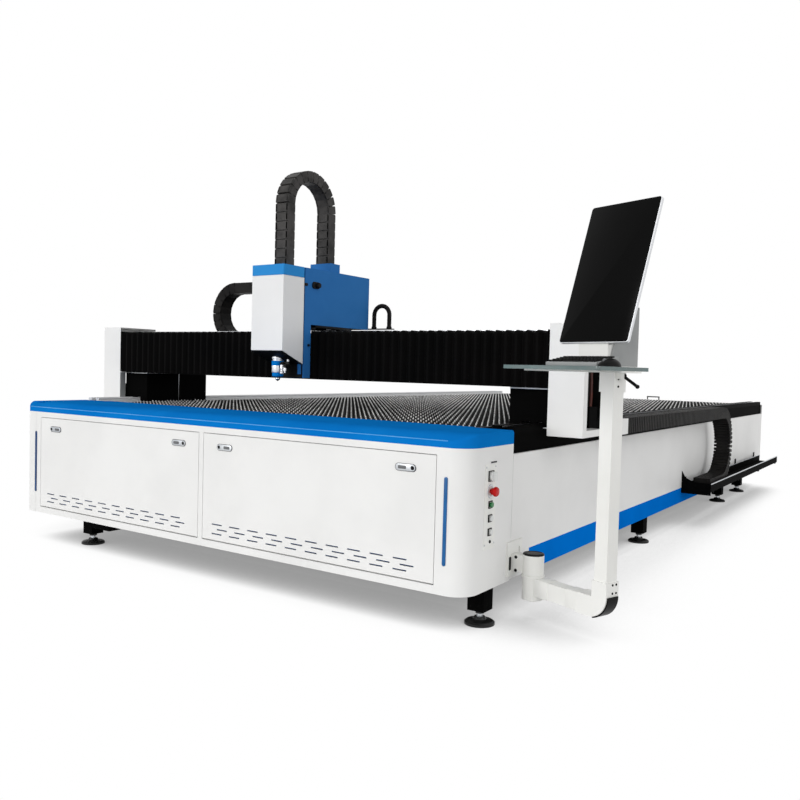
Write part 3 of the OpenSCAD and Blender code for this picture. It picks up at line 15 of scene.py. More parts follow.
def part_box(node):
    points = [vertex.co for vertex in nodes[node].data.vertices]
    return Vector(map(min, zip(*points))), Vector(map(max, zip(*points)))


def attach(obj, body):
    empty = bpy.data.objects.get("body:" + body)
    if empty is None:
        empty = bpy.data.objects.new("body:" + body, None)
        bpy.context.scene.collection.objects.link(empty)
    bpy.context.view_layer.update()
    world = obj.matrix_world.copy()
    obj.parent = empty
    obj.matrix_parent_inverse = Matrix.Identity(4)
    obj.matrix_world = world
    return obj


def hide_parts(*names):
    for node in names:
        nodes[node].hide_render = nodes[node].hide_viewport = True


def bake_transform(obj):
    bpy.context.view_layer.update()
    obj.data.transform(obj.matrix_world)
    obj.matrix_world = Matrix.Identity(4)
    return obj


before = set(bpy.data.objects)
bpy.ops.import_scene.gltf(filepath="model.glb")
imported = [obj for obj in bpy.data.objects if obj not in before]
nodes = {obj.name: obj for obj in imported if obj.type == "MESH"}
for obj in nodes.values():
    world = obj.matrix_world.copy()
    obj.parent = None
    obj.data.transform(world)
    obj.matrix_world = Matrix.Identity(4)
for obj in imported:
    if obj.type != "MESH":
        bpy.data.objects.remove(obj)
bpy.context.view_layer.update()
cabinet_low, cabinet_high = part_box("front_cabinet")
MM = 0.001
HOME = Vector(((cabinet_low.x + cabinet_high.x) / 2, cabinet_low.y, 0.0))


def at(x, y, z):
    """A place in millimetres on the machine, as a point of the frame."""
    return HOME + Vector((x, y, z)) * MM


print("loaded", len(nodes), "solids; home", tuple(round(c, 3) for c in HOME))

# %% [markdown]
# The camera comes first, because every later choice is judged through it. Its place was found by fitting the
# straight edges of the bed, and a lens of about 36 mm on a 36 mm sensor gives the same wide perspective.
# The three directions of a camera are easier to set as the columns of a matrix than as angles.

# %% Camera
EYE = (3020.22, -2749.53, 1057.19)
YAW, PITCH, ROLL = (math.radians(a) for a in (33.936, 2.207, 1.537))
SENSOR, FOCAL_PIXELS, FRAME_PIXELS = 36.0, 809.7, 800.0
forward = Vector((-math.sin(YAW) * math.cos(PITCH), math.cos(YAW) * math.cos(PITCH), -math.sin(PITCH)))
level = Vector((math.cos(YAW), math.sin(YAW), 0.0))
above = level.cross(forward)
right = math.cos(ROLL) * level + math.sin(ROLL) * above
up = -math.sin(ROLL) * level + math.cos(ROLL) * above
lens = bpy.data.cameras.new("photo_camera")
lens.sensor_width = SENSOR
lens.lens = SENSOR * FOCAL_PIXELS / FRAME_PIXELS
lens.clip_end = 200.0
camera = bpy.data.objects.new("photo_camera", lens)
bpy.context.scene.collection.objects.link(camera)
camera.matrix_world = Matrix.Translation(at(*EYE)) @ Matrix((right, up, -forward)).transposed().to_4x4()
bpy.context.scene.camera = camera
bpy.context.scene.view_settings.view_transform = "Standard"
print("camera at", tuple(round(c, 2) for c in camera.location))

# %% [markdown]
# Shader maths reads best as Python, so a Wire wraps one socket and each operator adds a Math node. Nodes has a
# single method for every other node: its settings are set first, because they decide which sockets there are,
# and then the sockets are given a number, a colour or another Wire.


# %% Node helper
class Wire:
    """One output socket; arithmetic on it adds Math nodes."""

    def __init__(self, nodes_of, socket):
        self.nodes_of, self.socket = nodes_of, socket

    def _math(self, operation, first, second):
        return self.nodes_of.add("ShaderNodeMath", {"operation": operation}, {0: first, 1: second})

    def __add__(self, other):
        return self._math("ADD", self, other)

    def __sub__(self, other):
        return self._math("SUBTRACT", self, other)

    def __rsub__(self, other):
        return self._math("SUBTRACT", other, self)

    def __mul__(self, other):
        return self._math("MULTIPLY", self, other)

    def __pow__(self, other):
        return self._math("POWER", self, other)

    __radd__, __rmul__ = __add__, __mul__

    def over(self, low, high):
        """0 below low, 1 above high, a smooth rise between."""
        ends = {0: self, 1: low, 2: high, 3: 0.0, 4: 1.0}
        return self.nodes_of.add("ShaderNodeMapRange", {"interpolation_type": "SMOOTHSTEP"}, ends)


class Nodes:
    """A node tree that is filled by one method."""

    def __init__(self, tree):
        self.tree = tree

    def add(self, kind, settings, inputs, output=0):
        node = self.tree.nodes.new(kind)
        for key, value in settings.items():
            setattr(node, key, value)
        for key, value in inputs.items():
            if isinstance(value, Wire):
                self.tree.links.new(value.socket, node.inputs[key])
            else:
                node.inputs[key].default_value = value
        return Wire(self, node.outputs[output]) if node.outputs else None

    def mix(self, first, second, share):
        return self.add("ShaderNodeMix", {"data_type": "RGBA"}, {0: share, 6: first, 7: second}, 2)

    def noise(self, place, scale, detail=3.0):
        return self.add("ShaderNodeTexNoise", {}, {"Vector": place, "Scale": scale, "Detail": detail})

    def stretched(self, place, scale):
        return self.add("ShaderNodeMapping", {}, {"Vector": place, "Scale": scale})


def srgb(red, green, blue):
    """A screen colour as the linear colour that a shader takes."""
    linear = [c / 255 / 12.92 if c <= 10 else ((c / 255 + 0.055) / 1.055) ** 2.4 for c in (red, green, blue)]
    return (*linear, 1.0)


print("white paint in linear light:", [round(c, 3) for c in srgb(239, 239, 238)])

# %% [markdown]
# The light is a plain studio: a soft key from the front left, a weak fill from the right, and a world that is
# paler towards the horizon than overhead, as in a wide white room. The camera, mirrors and glass see that room
# as pure white.

# %% World
WHITE = (1, 1, 1, 1)
HORIZON, OVERHEAD = (0.95, 0.945, 0.935, 1), (0.40, 0.40, 0.40, 1)
world = bpy.data.worlds.new("white_room")
bpy.context.scene.world = world
world.use_nodes = True
world.node_tree.nodes.clear()
room = Nodes(world.node_tree)


def seen_directly(tree):
    """1 for the rays that show the background: camera, mirror and glass rays."""
    kinds = ("Is Camera Ray", "Is Glossy Ray", "Is Transmission Ray")
    eye, mirror, through = (tree.add("ShaderNodeLightPath", {}, {}, kind) for kind in kinds)
    return tree.add("ShaderNodeMath", {"operation": "ADD", "use_clamp": True}, {0: eye + mirror, 1: through})


ray = room.add("ShaderNodeTexCoord", {}, {}, "Generated")
height = room.add("ShaderNodeSeparateXYZ", {}, {0: ray}, 2)
glow = room.mix(HORIZON, OVERHEAD, height.over(0.0, 0.9))
sky = room.mix(glow, WHITE, seen_directly(room))
light = room.add("ShaderNodeBackground", {}, {"Color": sky, "Strength": 1.0})
room.add("ShaderNodeOutputWorld", {}, {"Surface": light})
print("world nodes", len(world.node_tree.nodes))


# %% Lamps
def lamp(name, direction, strength, spread):
    """A sun that shines from a direction, with soft edges."""
    sun = bpy.data.lights.new(name, "SUN")
    sun.energy, sun.angle = strength, math.radians(spread)
    thing = bpy.data.objects.new(name, sun)
    thing.rotation_euler = Vector(direction).to_track_quat("Z", "Y").to_euler()
    bpy.context.scene.collection.objects.link(thing)


lamp("key_lamp", (-0.35, -0.9, 0.34), 1.24, 40)
lamp("fill_lamp", (0.95, -0.25, 0.30), 0.56, 50)
print("lamps", len(bpy.data.lights))

# %% [markdown]
# The floor is white like the room, but it darkens where the machine stands over it, so that the machine keeps
# its soft shadow. Ambient Occlusion measures how open the sky is above each spot. The shadow is drawn a little
# wider beside the machine than in front of it.

# %% Floor
SHADOW_REACH, SHADOW = 1.5, (0.30, 0.30, 0.30, 1)
BESIDE_FROM, BESIDE_TO = 1.35, 1.75
bpy.ops.mesh.primitive_plane_add(size=120.0, location=(0, 0, 0))
floor = bpy.context.object
floor.name = "studio_floor"
floor_finish = bpy.data.materials.new("studio_floor")
floor_finish.use_nodes = True
floor_finish.node_tree.nodes.clear()
ground = Nodes(floor_finish.node_tree)
openness = ground.add("ShaderNodeAmbientOcclusion", {"samples": 24}, {"Distance": SHADOW_REACH}, 1)
spot = ground.add("ShaderNodeTexCoord", {}, {}, "Object")
aside = (ground.add("ShaderNodeSeparateXYZ", {}, {0: spot}, 0) - HOME.x) ** 2.0
beside = aside.over(BESIDE_FROM ** 2, BESIDE_TO ** 2)
lit = openness.over(0.0, 0.57) * (1.0 - beside) + openness.over(0.20, 0.69) * beside
shown = ground.add("ShaderNodeEmission", {}, {"Color": ground.mix(SHADOW, WHITE, lit), "Strength": 1.0})
bounce = ground.add("ShaderNodeBsdfDiffuse", {}, {"Color": (0.75, 0.75, 0.75, 1)})
surface = ground.add("ShaderNodeMixShader", {}, {0: seen_directly(ground), 1: bounce, 2: shown})
ground.add("ShaderNodeOutputMaterial", {}, {"Surface": surface})
floor.data.materials.append(floor_finish)
print("floor nodes", len(floor_finish.node_tree.nodes))

# %% [markdown]
# Most of the machine is coated steel. A powder coat is never one flat colour: it has a faint cloudiness, a
# gloss that wanders a little and a fine orange-peel skin. One function mixes those three from noise, and each
# paint or plastic gives it its own two screen colours, range of roughness, grain and shine.


# %% Coat recipe
def new_finish(name):
    """An empty finish, its node tree and the place on the piece."""
    finish = bpy.data.materials.new(name)
    finish.use_nodes = True
    tree = Nodes(finish.node_tree)
    return finish, tree, tree.add("ShaderNodeTexCoord", {}, {}, "Object")


def fill(finish, tree, base, roughness, relief, bump, **constants):
    """Feed the shader; bump is (strength, depth in mm), and constants go on the shader's own sockets."""
    shader = finish.node_tree.nodes["Principled BSDF"]
    skin = tree.add("ShaderNodeBump", {}, {"Strength": bump[0], "Distance": bump[1] * MM, "Height": relief})
    for key, wire in (("Base Color", base), ("Roughness", roughness), ("Normal", skin)):
        finish.node_tree.links.new(wire.socket, shader.inputs[key])
    for key, value in constants.items():
        shader.inputs[key.replace("_", " ")].default_value = value
    return finish


def coat(name, colour, cloud, gloss, grain, cloud_scale=2.5, shine=0.5, left_side=None, **constants):
    """A coated or moulded surface; grain is (scale, depth), left_side a colour for the machine's left half."""
    finish, tree, place = new_finish(name)
    clouds = tree.noise(place, cloud_scale, 5.0)
    smears = tree.noise(tree.stretched(place, (1, 1, 4)), cloud_scale * 6, 4.0)
    base = tree.mix(srgb(*colour), srgb(*cloud), clouds.over(0.35, 0.70))
    if left_side:
        across = tree.add("ShaderNodeSeparateXYZ", {}, {0: place}, 0)
        base = tree.mix(srgb(*left_side), base, across.over(-0.1, 0.1))
    roughness = gloss[0] + (gloss[1] - gloss[0]) * smears
    peel = tree.noise(place, grain[0], 2.0)
    return fill(finish, tree, base, roughness, peel, (0.25, grain[1]), Specular_IOR_Level=shine, **constants)


print("a coat has three noises: cloud, gloss and grain")

# %% Paints
ENAMEL, SATIN = (420, 0.25), (380, 0.25)
white_coat = coat("white_coat", (239, 239, 238), (233, 233, 232), (0.36, 0.52), ENAMEL, shine=0.3)
warm_coat = coat("warm_white_coat", (241, 241, 238), (234, 234, 230), (0.36, 0.52), ENAMEL, shine=0.3)
blue_coat = coat("blue_coat", (14, 124, 207), (10, 115, 199), (0.34, 0.50), SATIN, shine=0.0)
skirt_blue = coat("skirt_blue", (3, 120, 220), (3, 113, 210), (0.40, 0.55), SATIN, shine=0.0)
cap_blue = coat("cap_blue", (52, 146, 214), (46, 138, 208), (0.34, 0.48), SATIN, shine=0.04)
box_blue = coat("box_blue", (50, 116, 182), (44, 109, 175), (0.36, 0.50), SATIN, shine=0.03)
# A lighter blue that paints the highlight line along the trim's step.
step_highlight_blue = coat("step_highlight_blue", (96, 172, 230), (70, 156, 222), (0.24, 0.36), (500, 0.1), 6.0, 0.1)
black_coat = coat("black_coat", (8, 8, 8), (12, 12, 12), (0.50, 0.66), (300, 0.4), shine=0.004)
rail_pair = coat("rail_pair", (8, 8, 8), (12, 12, 12), (0.40, 0.56), (300, 0.3), 4.0, 0.004, (226, 227, 229))
# A mid grey: the keyboard body's own colour, and painted shade on the stand's side sheet; a strip in the left cover
# wears it too.
grey_and_shade_coat = coat("grey_and_shade_coat", (158, 160, 160), (146, 148, 149), (0.34, 0.48), (500, 0.2), 5.0, 0.25)
motor_grey = coat("motor_grey", (40, 41, 43), (30, 31, 33), (0.40, 0.55), (500, 0.3), 5.0, 0.2)
print("finishes so far:", len(bpy.data.materials))

# %% Plastics and rubber
FINE, GLOSSY, CLEAR = (900, 0.2), (900, 0.1), (800, 0.1)
foot_rubber = coat("foot_rubber", (12, 12, 12), (26, 26, 26), (0.28, 0.48), (240, 0.4), shine=0.3)
chain_plastic = coat("chain_plastic", (38, 37, 36), (26, 25, 25), (0.38, 0.56), (700, 0.3), 9.0, 0.04)
# The lifting chain's plastic is the chain plastic made lighter; the extra lightness paints the light that falls on
# the upright chain.
lit_chain_plastic = coat("lit_chain_plastic", (66, 64, 63), (40, 39, 38), (0.34, 0.50), (600, 0.4), 14.0, 0.12)
black_plastic = coat("black_plastic", (14, 14, 14), (22, 22, 22), (0.30, 0.44), FINE, 8.0, 0.08)
grey_plastic = coat("grey_plastic", (104, 106, 108), (90, 92, 94), (0.38, 0.52), FINE, 8.0)
red_plastic = coat("red_plastic", (196, 22, 20), (170, 14, 14), (0.20, 0.34), GLOSSY, 20.0, 0.15)
green_plastic = coat("green_plastic", (30, 140, 70), (24, 118, 58), (0.18, 0.30), GLOSSY, 20.0)
pale_plastic = coat("pale_plastic", (230, 231, 230), (218, 220, 220), (0.24, 0.38), GLOSSY, 12.0)
navy_lens = coat("navy_lens", (24, 66, 118), (18, 54, 102), (0.14, 0.26), CLEAR, 10.0, 0.2)
steel_lens = coat("steel_lens", (36, 102, 162), (30, 92, 150), (0.14, 0.26), CLEAR, 10.0, 0.2)
wire_brown = coat("wire_brown", (96, 44, 34), (70, 32, 26), (0.40, 0.55), (600, 0.2), 15.0)
print("finishes so far:", len(bpy.data.materials))

# %% [markdown]
# Bare metals need a different recipe: their colour lives in the reflection, so Metallic is high and the
# roughness carries the marks. Ground rails have fine lines along their length, and turned alloy has rings.


# %% Metals
def metal(name, colour, stain, gloss, lines, metallic=1.0):
    """A machined metal with fine lines; lines is the stretch that draws noise out along the tool's path."""
    finish, tree, place = new_finish(name)
    scratch = tree.noise(tree.stretched(place, lines), 1.0, 4.0)
    base = tree.mix((*colour, 1), (*stain, 1), tree.noise(place, 6.0, 5.0).over(0.42, 0.72))
    roughness = gloss[0] + (gloss[1] - gloss[0]) * scratch
    return fill(finish, tree, base, roughness, scratch, (0.2, 0.1), Metallic=metallic)


ALONG_BED = (900, 6, 900)
dark_steel = metal("dark_steel", (0.045, 0.045, 0.047), (0.03, 0.03, 0.03), (0.30, 0.52), ALONG_BED, 0.7)
rail_steel = metal("rail_steel", (0.62, 0.63, 0.65), (0.48, 0.49, 0.51), (0.18, 0.42), ALONG_BED)
chrome = metal("chrome", (0.78, 0.79, 0.80), (0.66, 0.67, 0.69), (0.10, 0.30), (300, 300, 300))
alloy = metal("turned_alloy", (0.80, 0.81, 0.83), (0.68, 0.69, 0.72), (0.20, 0.40), (40, 40, 1400), 0.85)
zinc = metal("zinc_plate", (0.58, 0.60, 0.62), (0.42, 0.44, 0.47), (0.28, 0.50), (60, 60, 500))
frame_silver = metal("frame_silver", (0.74, 0.75, 0.77), (0.66, 0.67, 0.69), (0.30, 0.46), (900, 900, 20), 0.6)
print("finishes so far:", len(bpy.data.materials))

# %% [markdown]
# The table's slats are mill steel that cutting has scorched and spattered. Their points are worn bright and also
# carry a painted highlight, and the steel below them is near black, partly mill scale and partly painted shade
# between the slats. The height in the frame says where a point begins, so the brightness follows every tooth without
# an image.

# %% Slat steel
POINT_FROM, POINT_TO = 0.797, 0.8085
slat_steel, slat_tree, slat_place = new_finish("slat_steel")
slat_height = slat_tree.add("ShaderNodeSeparateXYZ", {}, {0: slat_place}, 2)
scorch = slat_tree.noise(slat_place, 14.0, 6.0).over(0.40, 0.66)
spatter = slat_tree.noise(slat_place, 160.0, 2.0)
tip_wear_and_highlight = slat_height.over(POINT_FROM, POINT_TO)
# Near black below the points: mill scale and a painted shade between the slats; the points get a painted highlight on
# top of their wear.
mill_scale_and_shade = slat_tree.mix((0.008, 0.008, 0.008, 1), (0.004, 0.004, 0.004, 1), scorch)
bright = slat_tree.mix(mill_scale_and_shade, (0.95, 0.95, 0.94, 1), tip_wear_and_highlight * (1.0 - 0.35 * scorch))
rusty = slat_tree.mix(bright, (0.16, 0.085, 0.045, 1), spatter.over(0.66, 0.78) * 0.55)
fill(slat_steel, slat_tree, rusty, 0.62 - 0.22 * tip_wear_and_highlight + 0.2 * scorch, spatter, (0.5, 0.8), Metallic=0.35)
print("bright points start at", POINT_FROM, "m")

# %% [markdown]
# Three finishes stand apart. The bellows are black coated cloth with a fine weave and a trace of dust on the
# folds. The screen is dark glass with faint wiping marks that only show in its gloss. The tray is tinted glass,
# which needs Transmission; that is the same all over, so it is set on the shader itself.

# %% Cloth and glass
bellows_cloth = coat("bellows_cloth", (5, 5, 5), (9, 8, 8), (0.55, 0.75), (1500, 0.35), 5.0, 0.03)
screen_glass = coat("screen_glass", (5, 5, 5), (7, 7, 7), (0.05, 0.13), (30, 0.02), 4.0, 0.05)
tray_glass = coat(
    "tray_glass", (128, 142, 141), (104, 140, 142), (0.05, 0.14), (40, 0.02), 5.0, Transmission_Weight=0.4, IOR=1.5
)
print("finishes in all:", len(bpy.data.materials))

# %% [markdown]
# Solids whose shape is already right keep their mesh. They only get a finish, and some of them a Weld and a
# small Bevel modifier, because folded and cast edges are never knife sharp and a thin highlight along them is
# what makes a sheet-metal box look real.


# %% Finishes on the solids
def dress(finish, names, edge=0.0):
    """Give solids a finish, and rounded edges of this many millimetres."""
    for name in names.split():
        solid = nodes[name]
        for slot in solid.material_slots:
            slot.material = finish
        if edge:
            weld = solid.modifiers.new("join_triangles", "WELD")
            weld.merge_threshold = 0.00002
            soft = solid.modifiers.new("soft_edges", "BEVEL")
            soft.width, soft.segments, soft.limit_method = edge * MM, 2, "ANGLE"
            soft.angle_limit = math.radians(40)


dress(black_coat, "bed_beams cross_members chain_tray gantry_beam gantry_feet y_drives")
dress(rail_pair, "y_guides")
dress(black_coat, "leg_blocks", 2.5)
dress(foot_rubber, "levelling_feet")
dress(white_coat, "bed_panels front_cabinet access_panel_left access_panel_right")
dress(white_coat, "end_covers", 2.0)
dress(white_coat, "head_cover", 3.0)
dress(warm_coat, "control_plate console_bracket monitor_stand console_frame")
dress(skirt_blue, "skirts")
dress(blue_coat, "top_trim")
dress(cap_blue, "head_cap", 2.5)
dress(box_blue, "carriage_box carriage_plate")
dress(dark_steel, "slat_frame slag_pan")
dress(slat_steel, "slats")
dress(rail_steel, "x_guides y_blocks x_blocks y_pinion_left y_pinion_right x_pinion z_screw")
dress(motor_grey, "control_gear carriage_drives head_slide")
dress(chain_plastic, "y_chain x_chain z_chain hose_loop")
dress(black_plastic, "mouse clamp_lever elbow_cap latch_cam_1 latch_cam_2 latch_cam_3 latch_cam_4")
dress(red_plastic, "estop_button")
dress(green_plastic, "push_button_1")
dress(pale_plastic, "power_switch push_button_2 push_button_3")
dress(bellows_cloth, "bellows_left bellows_right")
dress(alloy, "cutting_head")
dress(tray_glass, "console_tray", 3.0)
dress(screen_glass, "monitor")
dress(grey_plastic, "keyboard")
print("dressed", len(nodes), "solids")

# %% [markdown]
# New pieces share a few helpers. Each bmesh starts from a cube, a cone, a grid or a handful of vertices and is
# shaped by operators. show() does the last steps for every piece: it moves the millimetres into the frame, turns
# the faces outwards, keeps edges sharper than an angle crisp, and lets the piece ride on its body.


# %% Boxes, rods and lathe parts
def soften(bm, edges, width, steps=2, clamp=True):
    """Round edges by a width."""
    bmesh.ops.bevel(
        bm, geom=list(edges), offset=width, segments=steps, profile=0.5, affect="EDGES", material=-1,
        clamp_overlap=clamp,
    )


def block(bm, low, high, edge=0.0, steps=2):
    """A box between two corners, with rounded edges; a sharp one gives back its vertices."""
    made = bmesh.ops.create_cube(bm, size=1.0)["verts"]
    low, high = Vector(low), Vector(high)
    bmesh.ops.scale(bm, vec=high - low, verts=made)
    bmesh.ops.translate(bm, vec=(low + high) / 2, verts=made)
    if edge:
        soften(bm, {e for v in made for e in v.link_edges}, edge, steps)
    return made


def boxes(*pairs, edge=0.0, steps=2):
    """A new bmesh of boxes, each between its low and high corner."""
    bm = bmesh.new()
    for low, high in pairs:
        block(bm, low, high, edge, steps)
    return bm


def rod(bm, start, end, radius, tip=None, sides=24):
    """A round bar between two points; tip is its radius at the end."""
    start, end = Vector(start), Vector(end)
    lie = Matrix.Translation((start + end) / 2) @ (end - start).to_track_quat("Z", "Y").to_matrix().to_4x4()
    bmesh.ops.create_cone(
        bm, cap_ends=True, segments=sides, radius1=radius, radius2=radius if tip is None else tip,
        depth=(end - start).length, matrix=lie,
    )


def turned(bm, outline, centre, axis=(0, 0, 1), sides=40):
    """A lathe part: the outline's (radius, height) points are spun about an axis."""
    lie = Matrix.Translation(centre) @ Vector(axis).to_track_quat("Z", "Y").to_matrix().to_4x4()
    line = [bm.verts.new((r, 0, h)) for r, h in outline]
    edges = [bm.edges.new(pair) for pair in zip(line, line[1:])]
    before = set(bm.verts) - set(line)
    bmesh.ops.spin(
        bm, geom=line + edges, cent=(0, 0, 0), axis=(0, 0, 1), dvec=(0, 0, 0), angle=math.tau, steps=sides,
        use_merge=True,
    )
    bmesh.ops.remove_doubles(bm, verts=[v for v in bm.verts if v not in before], dist=0.001)
    bmesh.ops.transform(bm, matrix=lie, verts=[v for v in bm.verts if v not in before])


print("ready to make boxes, rods and lathe parts")


# %% Sheets and copies
VERT, EDGE = bmesh.types.BMVert, bmesh.types.BMEdge


def only(kind, geom):
    """The vertices or the edges among an operator's results."""
    return [g for g in geom if isinstance(g, kind)]


def whole(bm):
    """Everything in a bmesh."""
    return list(bm.verts) + list(bm.edges) + list(bm.faces)


def cut_sheet(bm, corners, thickness):
    """A flat face through these corners, extruded by its thickness."""
    face = bm.faces.new([bm.verts.new(c) for c in corners])
    made = bmesh.ops.extrude_face_region(bm, geom=[face])["geom"]
    bmesh.ops.translate(bm, vec=thickness, verts=only(VERT, made))


def bent_grid(rows, columns, place):
    """A new grid, bent so that the crossing of row i and column j is at place(i, j)."""
    bm = bmesh.new()
    bmesh.ops.create_grid(bm, x_segments=rows, y_segments=columns, size=1.0)
    for v in bm.verts:
        v.co = place(round((v.co.x + 1) / 2 * rows), round((v.co.y + 1) / 2 * columns))
    return bm


def repeat(bm, times, step):
    """Copy all of a shape along a step until there are this many."""
    unit = whole(bm)
    for count in range(1, times):
        copy = bmesh.ops.duplicate(bm, geom=unit)["geom"]
        bmesh.ops.translate(bm, vec=Vector(step) * count, verts=only(VERT, copy))


def show(name, bm, finish, body, stands_for=(), angle=32.0, place=None):
    """Finish a piece: into the frame, outward faces, crisp edges, finish and body."""
    if place is not None:
        bmesh.ops.transform(bm, matrix=place, verts=bm.verts)
    bmesh.ops.scale(bm, vec=(MM, MM, MM), verts=bm.verts)
    bmesh.ops.translate(bm, vec=HOME, verts=bm.verts)
    bmesh.ops.recalc_face_normals(bm, faces=bm.faces)
    mesh = bpy.data.meshes.new(name)
    bm.to_mesh(mesh)
    bm.free()
    mesh.shade_smooth()
    mesh.set_sharp_from_angle(angle=math.radians(angle))
    mesh.materials.append(finish)
    piece = bpy.data.objects.new(name, mesh)
    bpy.context.scene.collection.objects.link(piece)
    if body:
        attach(piece, body)
    if stands_for:
        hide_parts(*stands_for)
    print(name, len(mesh.polygons), "faces")
    return piece


print("ready to make sheets and copies")

# %% [markdown]
# The blue trim is one pressed cover: a low upright band, a rounded step and a flat deck, with plain upright ends
# at the sides. Its section changes on the way round each corner, so a grid is bent into it: a row for each
# station round the cabinet and a column for each point of the section. Solidify then gives the sheet its
# thickness, and a thin light-blue bead in the step is a painted highlight along its edge.

# %% Stations round the cabinet
SIDE, DEEP, CORNER, LEFT_CORNER = 1500.0, 390.0, 98.0, 45.0
CORNER_STEPS = 16


def round_corner(side, radius):
    """Stations from the front to a side: place, outward direction and share of the side section."""
    stops = []
    for k in range(1, CORNER_STEPS):
        turn = math.pi / 2 * k / CORNER_STEPS
        out = (side * math.sin(turn), -math.cos(turn))
        stops.append(((side * (SIDE - radius) + radius * out[0], radius + radius * out[1]), out, math.sin(turn) ** 2))
    return stops


stations = [((-SIDE, y), (-1.0, 0.0), 1.0) for y in (DEEP, LEFT_CORNER)]
stations += reversed(round_corner(-1, LEFT_CORNER))
stations += [((x, 0.0), (0.0, -1.0), 0.0) for x in (LEFT_CORNER - SIDE, CORNER - SIDE, SIDE - CORNER)]
stations += round_corner(1, CORNER)
stations += [((SIDE, y), (1.0, 0.0), 1.0) for y in (CORNER, DEEP)]
print("stations", len(stations))

# %% Blue trim
DECK, SHEET = 808.0, 4.0
FRONT_SECTION = [
    (0, 750), (0, 762), (0, 773), (1.0, 776.5), (3.5, 779), (9, 781.5),
    (18, 787), (32, 796), (50, 803), (72, 807), (98, 808),
]
SIDE_SECTION = [
    (0, 750), (0, 770), (0, 797), (1.0, 801), (3.0, 804.5), (6.5, 807),
    (11, 808), (30, 808), (50, 808), (72, 808), (98, 808),
]


def trim_point(i, j):
    """Point j of the section at station i; it stops short of the tight corner's middle."""
    (x, y), out, share = stations[i]
    inset, z = (a + (b - a) * share for a, b in zip(FRONT_SECTION[j], SIDE_SECTION[j]))
    reach = min(inset, 0.98 * LEFT_CORNER) if x < LEFT_CORNER - SIDE else inset
    return x - reach * out[0], y - reach * out[1], z


trim = bent_grid(len(stations) - 1, len(FRONT_SECTION) - 1, trim_point)
bmesh.ops.remove_doubles(trim, verts=trim.verts, dist=0.01)
bmesh.ops.dissolve_degenerate(trim, edges=trim.edges, dist=0.01)
bmesh.ops.recalc_face_normals(trim, faces=trim.faces)
bmesh.ops.solidify(trim, geom=trim.faces, thickness=SHEET)
block(trim, (LEFT_CORNER - SIDE, 97, DECK - SHEET), (SIDE - CORNER, DEEP, DECK))
block(trim, (LEFT_CORNER - SIDE, LEFT_CORNER, DECK - SHEET), (CORNER - SIDE, 98, DECK - 0.2))
block(trim, (-1294, DEEP - 1, DECK - SHEET), (1294, 423, DECK), 1.0)
show("blue_trim", trim, blue_coat, "bed", ["top_trim"], 24)
# A light-blue rod in the step paints the highlight line along its edge.
step_highlight_rod = bmesh.new()
rod(step_highlight_rod, (LEFT_CORNER - SIDE, 1.6, 777.6), (SIDE - CORNER, 1.6, 777.6), 2.0, sides=10)
show("trim_step_highlight", step_highlight_rod, step_highlight_blue, "bed", ["top_trim"])

# %% [markdown]
# The cabinet's left corner is folded more tightly than the right one. A slim corner cover gives it that fold: a
# block with one bevelled upright edge, cut back on the inside by a flat that clears the solid's round corner.

# %% Left corner cover
corner_cover = boxes(((-SIDE, 0, 160), (CORNER - SIDE + 1, CORNER + 1, 750)))
upright = [e for e in corner_cover.edges if all(v.co.x < -SIDE + 1 and v.co.y < 1 for v in e.verts)]
soften(corner_cover, upright, LEFT_CORNER, 10)
inside = [e for e in corner_cover.edges if all(v.co.x > CORNER - SIDE and v.co.y > CORNER for v in e.verts)]
soften(corner_cover, inside, CORNER - 1, 1, clamp=False)
show("left_corner_cover", corner_cover, white_coat, "bed")

# %% [markdown]
# The cutting table is 45 upright slats with rows of sharp points. One tooth is an extruded six-sided face; it is
# copied along the slat and merged, and the finished slat is copied down the bed. Real slats have a point about
# every 31 mm, where the solid has fewer and coarser ones.

# %% Slats
SLAT_HALF, SLAT_LOW, SLAT_ROOT, SLAT_TIP, SLAT_THICK = 1274.0, 720.0, 768.0, 810.0, 4.0
TEETH, SLATS, SLAT_FIRST, SLAT_STEP = 83, 45, 485.0, 120.0
tooth = 2 * SLAT_HALF / TEETH
profile = [
    (0, SLAT_LOW), (tooth, SLAT_LOW), (tooth, SLAT_ROOT),
    (0.53 * tooth, SLAT_TIP), (0.47 * tooth, SLAT_TIP), (0, SLAT_ROOT),
]
slat = bmesh.new()
cut_sheet(slat, [(x - SLAT_HALF, SLAT_FIRST - SLAT_THICK / 2, z) for x, z in profile], (0, SLAT_THICK, 0))
bmesh.ops.delete(slat, geom=[f for f in slat.faces if abs(f.normal.x) > 0.99], context="FACES_ONLY")
repeat(slat, TEETH, (tooth, 0, 0))
bmesh.ops.remove_doubles(slat, verts=slat.verts, dist=0.01)
bmesh.ops.holes_fill(slat, edges=[e for e in slat.edges if e.is_boundary], sides=4)
repeat(slat, SLATS, (0, SLAT_STEP, 0))
show("toothed_slats", slat, slat_steel, "bed", ["slats"], 20)

# %% [markdown]
# So a run is cut into a few lengths, and each takes only the nearly straight part of the easing between its own
# two shares.


# %% Shares along a run
def eased(share):
    """Where on the smooth step from 0 to 1 a share is reached."""
    return 0.5 - math.sin(math.asin(1 - 2 * share) / 3)


def spread(piece, still, moving, axis, first, last):
    """Bake a piece's place into its mesh; first and last are (place along the axis, share of the moving body)."""
    (x0, w0), (x1, w1) = first, last
    t0, t1 = eased(w0), eased(w1)
    reach = (x1 - x0) / (t1 - t0)
    begin = HOME + Vector(axis) * (x0 - t0 * reach) * MM
    begin + Vector(axis) * reach * MM
    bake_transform(piece)


print("half way is reached at", eased(0.5))

